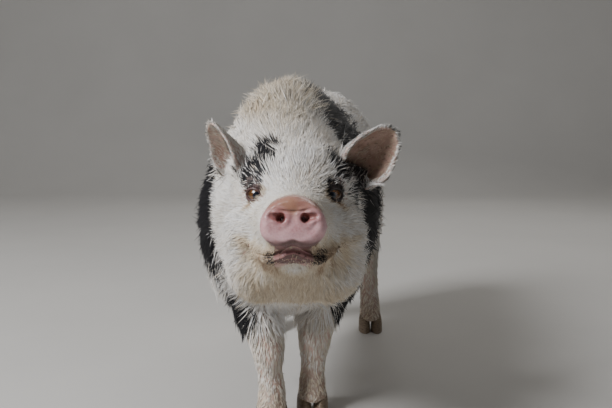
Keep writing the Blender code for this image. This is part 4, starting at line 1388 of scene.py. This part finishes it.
def tuftPaths(ground, name, chance, count):
    places, normals, unwrap = ground.roots(name, count, chance)
    local = localOf(places)
    ear = ground.earMap.read(places)
    length, lift, width = sizesAt(name, places, local, ear)
    length = length * chance.uniform(0.72, 1.15, count)
    way = lieAt(places, local, normals, ear)
    swirl = 0.22 * ripple(places, 0.06, 31) + 0.16 * ripple(places, 0.022, 32)
    if name in ("coatLegs", "coatTail"):
        swirl = swirl * 0.35
    way = turnAbout(way, normals, swirl + 0.13 * chance.normal(size=count))
    stray = chance.random(count) < coat["strays"] * (name != "coatTail")
    way = np.where(stray[:, None], turnAbout(way, normals, chance.uniform(-0.9, 0.9, count)), way)
    lift = lift * chance.uniform(0.6, 1.3, count) + 0.25 * stray
    half, halfNormals = ground.nearest(places + way * (length / 2)[:, None])
    onward = half - places
    onward = unitOf(onward - partAlong(onward, halfNormals))
    end, endNormals = ground.nearest(half + onward * (length / 2)[:, None])
    middle = half + halfNormals * (lift * length * 0.42)[:, None]
    tip = end + endNormals * (lift * length)[:, None]
    free = freeAt(name, places, ear)
    straight = unitOf(way + normals * (lift * 1.2)[:, None])
    middle += (places + straight * (length * 0.5)[:, None] - middle) * free[:, None]
    tip += (places + straight * length[:, None] - tip) * free[:, None]
    middle, tip = clumped(places, middle, tip, chance)
    black, warm, shade = tintAt(name, places, local, ear, chance)
    width = width * chance.uniform(0.8, 1.2, count)
    return {
        "root": places, "middle": middle, "tip": tip, "normal": normals, "width": width,
        "unwrap": unwrap, "black": black, "warm": warm, "shade": shade,
    }


def freeAt(name, places, ear):
    # 1 where the hair stands past an edge and isn't laid on the skin
    if name == "coatEars":
        return ((np.abs(ear["v"]) > 0.86) | (ear["u"] > 0.93)).astype(float)
    if name == "coatTail":
        return softStep(0.32, 0.27, places[:, 2])
    return np.zeros(len(places))


def clumped(root, middle, tip, chance):
    # tips that draw together, as hair does
    count = len(root)
    centres = chance.choice(count, max(1, count // coat["clump"]), replace=False)
    tree = KDTree(len(centres))
    for k, centre in enumerate(centres):
        tree.insert(root[centre], k)
    tree.balance()
    nearest = np.array([centres[tree.find(place)[1]] for place in root])
    pull = chance.uniform(0.25, 0.75, count)[:, None]
    goal = tip[nearest] + (root - root[nearest]) * 0.3
    halfway = middle[nearest] + (root - root[nearest]) * 0.75
    return middle + (halfway - middle) * pull * 0.5, tip + (goal - tip) * pull


def tuftFaces(rings):
    # the faces of one tuft, by the numbers of its points
    sides = ((0, 1), (1, 2), (2, 0))
    faces = [(0, 2, 1)]
    for k in range(rings - 1):
        faces += [(3 * k + a, 3 * k + b, 3 * k + 3 + b, 3 * k + 3 + a) for a, b in sides]
    last = 3 * (rings - 1)
    return faces + [(last + a, last + b, last + 3) for a, b in sides]


def tuftMesh(name, tufts, rings):
    # closed, three-sided and tapered tufts as one mesh
    count = len(tufts["root"])
    shares, widths = coat["ringShares"][rings], coat["ringWidths"][rings]
    root = tufts["root"] - tufts["normal"] * coat["sunk"]
    middle, tip = tufts["middle"], tufts["tip"]
    twist = np.random.default_rng(rings).uniform(-0.7, 0.7, count)
    points, ways, alongs, corners = [], [], [], []
    for share, widen in zip(shares, widths):
        # a curve through root, middle and tip, and its way
        centre = root * (2 * share**2 - 3 * share + 1) + middle * (4 * share - 4 * share**2)
        centre += tip * (2 * share**2 - share)
        ahead = unitOf(root * (4 * share - 3) + middle * (4 - 8 * share) + tip * (4 * share - 1))
        across = unitOf(np.cross(tufts["normal"], ahead) + np.array((1e-3, 0, 0)))
        across = turnAbout(across, ahead, twist)
        outward = np.cross(ahead, across)
        wide = (tufts["width"] * widen)[:, None]
        points += [centre - across * wide / 2, centre + across * wide / 2, centre + outward * wide * 0.45]
        ways += [-across, across, outward]
        alongs += [share] * 3
        corners += [(-1, share), (0, share), (1, share)]
    points.append(tip)
    ways.append(outward)
    alongs.append(1.0)
    corners.append((0, 1.0))
    each = len(points)
    faces = tuftFaces(rings)
    loops = np.array([k for one in faces for k in one])
    starts = np.cumsum([0] + [len(one) for one in faces[:-1]])
    base = np.arange(count)[:, None]
    mesh = bpy.data.meshes.new(name)
    mesh.vertices.add(count * each)
    mesh.vertices.foreach_set("co", np.stack(points, axis=1).astype(np.float32).ravel())
    mesh.loops.add(count * len(loops))
    mesh.loops.foreach_set("vertex_index", (loops[None] + base * each).astype(np.int32).ravel())
    mesh.polygons.add(count * len(faces))
    mesh.polygons.foreach_set("loop_start", (starts[None] + base * len(loops)).astype(np.int32).ravel())
    mesh.update(calc_edges=True)
    spots = tufts["unwrap"][:, None, :] + (np.array(corners)[None] * (1, 2) - (0, 1)) * coat["patch"]
    layer = mesh.uv_layers.new(name="OFBake")
    layer.data.foreach_set("uv", spots[:, loops].astype(np.float32).ravel())
    black, warm, shade = (tufts[key][:, None] for key in ("black", "warm", "shade"))
    tint = np.stack(np.broadcast_arrays(black, warm, np.array(alongs)[None], shade), axis=2)
    paintAttribute(mesh, "tint", tint)
    mesh.shade_smooth()
    soft = coat["softness"]
    lit = unitOf(tufts["normal"][:, None] * soft + np.stack(ways, axis=1) * (1 - soft))
    mesh.normals_split_custom_set_from_vertices(lit.reshape(-1, 3))
    return addObject(name, mesh)


lashes = {
    "count": 60,
    "length": 0.0062,
    "width": 0.00035,
    "reach": (0.10, 0.92),  # shares of the way round the upper lid
    "black": 0.80,
    "warm": 0.9,
}


def buildLashes(ground):
    # hair on the edge of both upper lids
    chance = np.random.default_rng(77)
    roots, middles, tips = [], [], []
    for side in (-1, 1):
        turn = math.pi * chance.uniform(*lashes["reach"], lashes["count"])
        way = openingEdge(turn, side, chance.uniform(1.10, 1.26, lashes["count"]))
        outward = unitOf(openingEdge(turn, side, 1.4) - openingEdge(turn, side, 1.1))
        length = lashes["length"] * chance.uniform(0.6, 1.2, lashes["count"])[:, None]
        jitter = 0.16 * chance.normal(size=(lashes["count"], 3))
        root = way * (eyes["radius"] + 0.0012)
        middle = root + (way * 0.70 + outward * 0.45 + jitter) * length * 0.5
        tip = middle + (way * 0.45 + outward * 0.75 + jitter) * length * 0.5
        for made, places in ((roots, root), (middles, middle), (tips, tip)):
            made.append(carried(places, headFrame @ eyeFrame(side)))
    root, middle, tip = (np.concatenate(made) for made in (roots, middles, tips))
    count = len(root)
    normal = unitOf(np.cross(tip - root, np.array((1.0, 0.1, 0.0))))
    tufts = {"root": root, "middle": middle, "tip": tip, "normal": normal, "unwrap": ground.unwrapAt(root)}
    tufts["shade"] = chance.random(count)
    for key in ("width", "black", "warm"):
        tufts[key] = np.full(count, lashes[key])
    return tuftMesh("lashes", tufts, 3)


def growCoat(ground):
    pieces = []
    for seed, (name, (count, rings)) in enumerate(coat["pieces"].items()):
        chance = np.random.default_rng(100 + seed)
        pieces.append(tuftMesh(name, tuftPaths(ground, name, chance, count), rings))
    print("coat grown", len(pieces))
    return pieces


# Materials
class Wire:
    # a socket that can be reckoned with
    def __init__(self, paint, socket):
        self.paint, self.socket = paint, socket

    def reckon(self, operation, a, b):
        return self.paint.node("Math", {"operation": operation}, {0: a, 1: b})

    def __add__(self, other):
        return self.reckon("ADD", self, other)

    def __rsub__(self, other):
        return self.reckon("SUBTRACT", other, self)

    def __mul__(self, other):
        return self.reckon("MULTIPLY", self, other)


class Paint:
    # a material and its nodes
    def __init__(self, name, **constants):
        self.material = bpy.data.materials.new(name)
        self.material.use_nodes = True
        self.tree = self.material.node_tree
        self.shader = self.tree.nodes["Principled BSDF"]
        for socket, value in constants.items():
            self.shader.inputs[socket.replace("_", " ")].default_value = value

    def node(self, kind, settings=None, sockets=None, out=0):
        made = self.tree.nodes.new("ShaderNode" + kind)
        for name, value in (settings or {}).items():
            if name == "stops":
                self.setStops(made.color_ramp, value)
            else:
                setattr(made, name, value)
        for key, value in (sockets or {}).items():
            self.feed(made.inputs[key], value)
        return Wire(self, made.outputs[out])

    def setStops(self, ramp, stops):
        while len(ramp.elements) < len(stops):
            ramp.elements.new(0.5)
        for element, (place, colour) in zip(ramp.elements, stops):
            element.position = place
            element.color = (*colour, 1)

    def feed(self, socket, value):
        if isinstance(value, Wire):
            self.tree.links.new(value.socket, socket)
        else:
            socket.default_value = value

    def finish(self, **sockets):
        for name, value in sockets.items():
            self.feed(self.shader.inputs[name.replace("_", " ")], value)
        return self.material

    def place(self):
        return self.node("TexCoord", out="Object")

    def stretched(self, place, scales):
        return self.node("VectorMath", {"operation": "MULTIPLY"}, {0: place, 1: scales})

    def noise(self, scale, detail=4, roughness=0.55, place=None):
        sockets = {"Vector": place or self.place(), "Scale": scale, "Detail": detail, "Roughness": roughness}
        return self.node("TexNoise", {}, sockets)

    def cells(self, scale):
        return self.node("TexVoronoi", {}, {"Vector": self.place(), "Scale": scale})

    def mix(self, share, a, b):
        a, b = ((*c, 1) if isinstance(c, tuple) else c for c in (a, b))
        return self.node("Mix", {"data_type": "RGBA"}, {0: share, 6: a, 7: b}, 2)

    def ramp(self, value, *stops):
        return self.node("ValToRGB", {"stops": stops}, {0: value})

    def within(self, value, low, high, first=0.0, last=1.0):
        return self.node("MapRange", {}, {0: value, 1: low, 2: high, 3: first, 4: last})

    def attribute(self, name):
        colour = self.node("Attribute", {"attribute_name": name}, {}, "Color")
        parts = [self.node("SeparateColor", {}, {0: colour}, k) for k in range(3)]
        return parts + [self.node("Attribute", {"attribute_name": name}, {}, "Alpha")]

    def bump(self, height, depth, strength=1.0):
        return self.node("Bump", {}, {"Height": height, "Distance": depth, "Strength": strength})


colours = {
    "flesh": (0.66, 0.50, 0.43),
    "fleshDeep": (0.54, 0.36, 0.30),
    "socket": (0.115, 0.060, 0.055),
    "stain": (0.17, 0.105, 0.06),
    "tears": (0.36, 0.20, 0.075),
    "blackSkin": (0.030, 0.026, 0.028),
    "discPale": (0.64, 0.395, 0.41),
    "discDeep": (0.46, 0.21, 0.225),
    "discTan": (0.33, 0.165, 0.105),
    "nostrilRed": (0.26, 0.085, 0.070),
    # painted shade deep in the nostrils and in the parting of the lips
    "paintedHollowShade": (0.022, 0.009, 0.008),
    "lip": (0.265, 0.145, 0.122),
    # painted shade on the skin under the disc
    "paintedShadeUnderDisc": (0.085, 0.034, 0.028),
    "lipSpeck": (0.085, 0.045, 0.035),
    "earInside": (0.50, 0.335, 0.275),
    "earDeep": (0.31, 0.185, 0.145),
    "mud": (0.26, 0.20, 0.145),
    "hairWhite": (0.90, 0.89, 0.88),
    "hairCream": (0.69, 0.58, 0.42),
    "hairRust": (0.27, 0.135, 0.06),
    # painted shade at the roots of the tufts
    "paintedRootShade": (0.55, 0.44, 0.36),
    "hairShade": (0.44, 0.37, 0.31),
    "hairStreak": (0.60, 0.52, 0.44),
    "hairBlack": (0.008, 0.008, 0.010),
    "hairBlackTip": (0.024, 0.022, 0.024),
    "iris": (0.20, 0.088, 0.026),
    "irisDark": (0.030, 0.013, 0.007),
    "pupil": (0.006, 0.009, 0.018),
    "sclera": (0.16, 0.09, 0.07),
    "lid": (0.115, 0.060, 0.055),
    "lidDark": (0.030, 0.021, 0.021),
    "horn": (0.235, 0.165, 0.105),
    "hornDark": (0.075, 0.050, 0.033),
    "hornWorn": (0.40, 0.32, 0.23),
    "floor": (0.56, 0.545, 0.52),
}


def skinMaterial():
    paint = Paint("pigSkin", Roughness=0.5, Subsurface_Weight=0.10, Subsurface_Radius=(0.9, 0.35, 0.2),
                  Subsurface_Scale=0.006, Specular_IOR_Level=0.42)
    black, bare, tan, dark = paint.attribute("marks")
    red, inEar, dirt, lip = paint.attribute("zones")
    socket, stain, tears, shadeUnderDisc = paint.attribute("shades")
    mottle = paint.within(paint.noise(60), 0.35, 0.65)
    fine = paint.within(paint.noise(420, 3), 0.35, 0.65)
    flesh = paint.mix(mottle, colours["flesh"], colours["fleshDeep"])
    broad = paint.within(paint.noise(24, 2), 0.40, 0.62)
    clouds = paint.within(broad * 0.5 + mottle * 0.4 + fine * 0.3, 0.25, 1.0)
    disc = paint.mix(clouds, colours["discPale"], colours["discDeep"])
    disc = paint.mix(tan * paint.within(mottle, 0.0, 1.0, 0.95, 0.65), disc, colours["discTan"])
    speck = paint.within(paint.noise(260, 2), 0.60, 0.66)
    lips = paint.mix(speck, paint.mix(mottle, colours["lip"], colours["discDeep"]), colours["lipSpeck"])
    base = paint.mix(bare, flesh, paint.mix(lip, disc, lips))
    # painted shade on the skin under the disc, where it faces down
    base = paint.mix(shadeUnderDisc * paint.within(mottle, 0, 1, 0.95, 0.75), base, colours["paintedShadeUnderDisc"])
    base = paint.mix(stain * (1 - bare) * 0.75, base, colours["stain"])
    base = paint.mix(socket * 0.9, base, colours["socket"])
    base = paint.mix(tears * 0.7, base, colours["tears"])
    base = paint.mix(black * (1 - bare), base, colours["blackSkin"])
    inner = paint.mix(mottle * 0.8, colours["earInside"], colours["earDeep"])
    inner = paint.mix(speck * 0.7, inner, colours["lipSpeck"])
    base = paint.mix(inEar * 0.95, base, inner)
    base = paint.mix(dirt * paint.within(fine, 0, 1, 0.85, 0.45), base, colours["mud"])
    base = paint.mix(red * 0.8, base, colours["nostrilRed"])
    # painted shade in the nostrils' ends and along the mouth's parting
    base = paint.mix(dark, base, colours["paintedHollowShade"])
    pores = paint.within(paint.cells(820), 0.05, 0.55)
    grain = paint.noise(1500, 3)
    height = pores * 0.40 * bare + grain * 0.30 + paint.noise(170, 4) * 0.7
    rough = paint.within(bare * paint.within(fine, 0, 1, 0.75, 1.0), 0, 1, 0.62, 0.27)
    return paint.finish(Base_Color=base, Roughness=rough, Normal=paint.bump(height, 0.00040, 0.55))


def coatMaterial():
    paint = Paint("bristles", Roughness=0.5, Specular_IOR_Level=0.25)
    black, warm, along, shade = paint.attribute("tint")
    hairs = [(k / 2, colours[name]) for k, name in enumerate(("hairWhite", "hairCream", "hairRust"))]
    pale = paint.ramp(warm, *hairs)
    # painted shade: each tuft darkens towards its root, as shade deep in the coat
    deep = paint.mix(0.35, pale, colours["paintedRootShade"])
    pale = paint.mix(paint.within(along, 0.0, 0.45), deep, pale)
    pale = paint.mix(paint.within(shade, 0.0, 0.55, 0.55, 0.0), pale, colours["hairShade"])
    streak = paint.within(paint.noise(900, 2), 0.3, 0.7, 0.0, 0.12)
    pale = paint.mix(streak, pale, colours["hairStreak"])
    dark = paint.mix(along * shade, colours["hairBlack"], colours["hairBlackTip"])
    base = paint.mix(black, pale, dark)
    rough = paint.within(black, 0, 1, 0.58, 0.56)
    return paint.finish(Base_Color=base, Roughness=rough)


def eyeMaterial():
    paint = Paint("pigEye", Roughness=0.22, Coat_Weight=1.0, Coat_Roughness=0.03, Coat_IOR=1.4)
    gaze = paint.node("Attribute", {"attribute_name": "gaze"}, {}, "Vector")
    angle = paint.node("SeparateXYZ", {}, {0: gaze}, 2)
    streaks = paint.within(paint.noise(1.0, 3, 0.6, paint.stretched(gaze, (9.0, 9.0, 1.6))), 0.35, 0.65)
    iris = paint.mix(streaks, colours["iris"], colours["irisDark"])
    ringed = angle + streaks * 0.03
    edge, pupil = eyes["irisAngle"], eyes["pupilAngle"]
    iris = paint.mix(paint.within(ringed, edge - 0.38, edge), iris, colours["irisDark"])
    white = paint.mix(paint.within(angle, 0.9, 1.4), colours["irisDark"], colours["sclera"])
    base = paint.mix(paint.within(ringed, edge - 0.02, edge + 0.03), iris, white)
    base = paint.mix(paint.within(ringed, pupil + 0.02, pupil - 0.02), base, colours["pupil"])
    return paint.finish(Base_Color=base)


def lidMaterial(name, colour):
    paint = Paint(name, Specular_IOR_Level=0.5)
    mottle = paint.within(paint.noise(500, 4), 0.3, 0.7)
    base = paint.mix(mottle * 0.6, colour, colours["lidDark"])
    height = paint.noise(1800, 3) * 0.6 + paint.noise(600, 2) * 0.6
    return paint.finish(Base_Color=base, Roughness=paint.within(mottle, 0, 1, 0.30, 0.48),
                        Normal=paint.bump(height, 0.0003, 0.6))


def hornMaterial():
    paint = Paint("hoofHorn", Specular_IOR_Level=0.45)
    place = paint.place()
    height = paint.node("SeparateXYZ", {}, {0: place}, 2)
    grain = paint.within(paint.noise(900, 4, 0.6, paint.stretched(place, (1.0, 1.0, 0.12))), 0.3, 0.7)
    bands = paint.within(paint.noise(420, 3, 0.5, paint.stretched(place, (0.25, 0.25, 1.0))), 0.35, 0.65)
    base = paint.mix(grain, colours["horn"], colours["hornDark"])
    base = paint.mix(bands * 0.35, base, colours["hornWorn"])
    base = paint.mix(paint.within(height, 0.006, 0.0, 0.0, 0.7), base, colours["mud"])
    relief = grain * 0.5 + bands * 0.6
    return paint.finish(Base_Color=base, Roughness=paint.within(grain, 0, 1, 0.42, 0.62),
                        Normal=paint.bump(relief, 0.0004, 0.8))


def floorMaterial():
    paint = Paint("studioFloor", Roughness=0.8)
    cloud = paint.within(paint.noise(2.2, 5), 0.3, 0.7)
    base = paint.mix(cloud, colours["floor"], tuple(c * 0.94 for c in colours["floor"]))
    return paint.finish(Base_Color=base)


def wear(thing, material):
    thing.data.materials.clear()
    thing.data.materials.append(material)


# The room: a seamless pale sweep, three soft lights and the camera
room = {
    "camera": (0.0, -1.177, 0.45),
    "pitch": 7.3,
    "lens": 50,
    "world": (0.80, 0.82, 0.85),
    "worldStrength": 0.24,
    "lights": (
        # place, size, power, colour
        ((-1.9, -1.3, 2.1), 1.0, 115, (0.97, 0.98, 1.0)),
        ((1.8, -1.4, 0.9), 1.8, 5, (0.92, 0.96, 1.0)),
        ((0.6, 2.0, 1.8), 1.4, 13, (1.0, 0.98, 0.95)),
    ),
    "aim": (0.0, 0.0, 0.28),
    "floorHalf": 16.0,
    "floorBack": 3.7,
    "wallHeight": 3.5,
    "sweep": 1.2,  # radius of the bend from floor to wall
}


def buildFloor():
    floor = addFresh("studioFloor", bpy.ops.mesh.primitive_plane_add, size=2)
    for v in floor.data.vertices:
        v.co.x *= room["floorHalf"]
        v.co.y = room["floorBack"] if v.co.y > 0 else -room["floorHalf"]
    pick(floor)
    bpy.ops.object.mode_set(mode="EDIT")
    bm = bmesh.from_edit_mesh(floor.data)
    for edge in bm.edges:
        edge.select_set(all(v.co.y > 0 for v in edge.verts))
    bmesh.update_edit_mesh(floor.data)
    bpy.ops.mesh.extrude_region_move(TRANSFORM_OT_translate={"value": (0, 0, room["wallHeight"])})
    bpy.ops.object.mode_set(mode="OBJECT")
    finishWith(floor, "BEVEL", width=room["sweep"], segments=12, limit_method="ANGLE")
    bpy.ops.object.transform_apply(location=True, rotation=True, scale=True)
    floor.data.shade_smooth()
    wear(floor, floorMaterial())


def buildLights(shift):
    aim = Vector(room["aim"]) + shift
    for k, (place, size, power, colour) in enumerate(room["lights"]):
        light = bpy.data.lights.new("studioLight" + str(k + 1), "AREA")
        light.energy, light.size, light.color = power, size, colour
        lamp = addObject(light.name, light)
        lamp.location = Vector(place) + shift
        lamp.rotation_euler = (aim - lamp.location).to_track_quat("-Z", "Y").to_euler()
    world = bpy.data.worlds.new("studioAir")
    world.use_nodes = True
    air = world.node_tree.nodes["Background"].inputs
    air["Color"].default_value = (*room["world"], 1)
    air["Strength"].default_value = room["worldStrength"]
    bpy.context.scene.world = world


def buildCamera(shift):
    lens = bpy.data.cameras.new("camera")
    lens.lens = room["lens"]
    lens.sensor_width = 36
    camera = addObject("camera", lens)
    camera.location = Vector(room["camera"]) + shift
    camera.rotation_euler = (math.radians(90 - room["pitch"]), 0, 0)
    bpy.context.scene.camera = camera


# Everything is made and given its finish, and then moved onto the solids
earMap = EarMap()
skinPiece = buildSkin()
sculptSkin(skinPiece)
skinPiece = joinAll("skin", [skinPiece] + [buildEar(name) for name in ears])
unwrapSkin(skinPiece)
markSkin(skinPiece, earMap)
fleshNodes = ["head", "snout", "neck", "forequarters", "barrel", "hindquarters", "tail"]
fleshNodes += ["ear_left", "ear_right", "foreleg_left", "foreleg_right", "hindleg_left", "hindleg_right"]
wear(skinPiece, skinMaterial())
pieces = [(skinPiece, "coat", fleshNodes)]
ground = Ground(skinPiece, earMap)
coatPieces = growCoat(ground) + [buildLashes(ground)]
bristles = coatMaterial()
for piece in coatPieces:
    wear(piece, bristles)
    pieces.append((piece, "coat", []))

horn = hornMaterial()
eyeFinish = eyeMaterial()
sides = {"left": 1, "right": -1}
for which, side in sides.items():
    eye = buildEye("eye" + which.title(), side)
    wear(eye, eyeFinish)
    pieces.append((eye, "eye", ["eye_" + which]))
    lids = buildLids("lids" + which.title(), side)
    wear(lids, lidMaterial("lid" + which.title(), colours["lidDark"] if side > 0 else colours["lid"]))
    pieces.append((lids, "nose", []))
for footName, foot in stance["feet"].items():
    back = hooves["dewclawBack"][footName[:4]]
    for which, side in sides.items():
        node = footName + "_" + which
        label = "".join(part.title() for part in node.split("_"))
        claw = buildClaw("claw" + label, foot, side)
        dewclaw = buildDewclaw("dewclaw" + label, foot, side, back)
        for thing, nodeName in ((claw, "claw_" + node), (dewclaw, "dewclaw_" + node)):
            wear(thing, horn)
            pieces.append((thing, "horn", [nodeName]))
print("eyes and hooves made")

eyeBoxes = [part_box("eye_" + which) for which in sides]
eyeMiddles = [(Vector(box[0]) + Vector(box[1])) / 2 for box in eyeBoxes]
shift = (eyeMiddles[0] + eyeMiddles[1]) / 2 - headFrame @ Vector((0, eyes["place"][1], 0))
triangles = 0
for piece, slotName, nodes in pieces:
    piece.data.transform(Matrix.Translation(shift))
    piece.data.update()
    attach(piece, "root")
    if nodes:
        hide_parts(*nodes)
    piece.data.calc_loop_triangles()
    triangles += len(piece.data.loop_triangles)
    print(piece.name, len(piece.data.loop_triangles))
buildFloor()
buildLights(shift)
buildCamera(shift)
print("triangles in all", triangles)
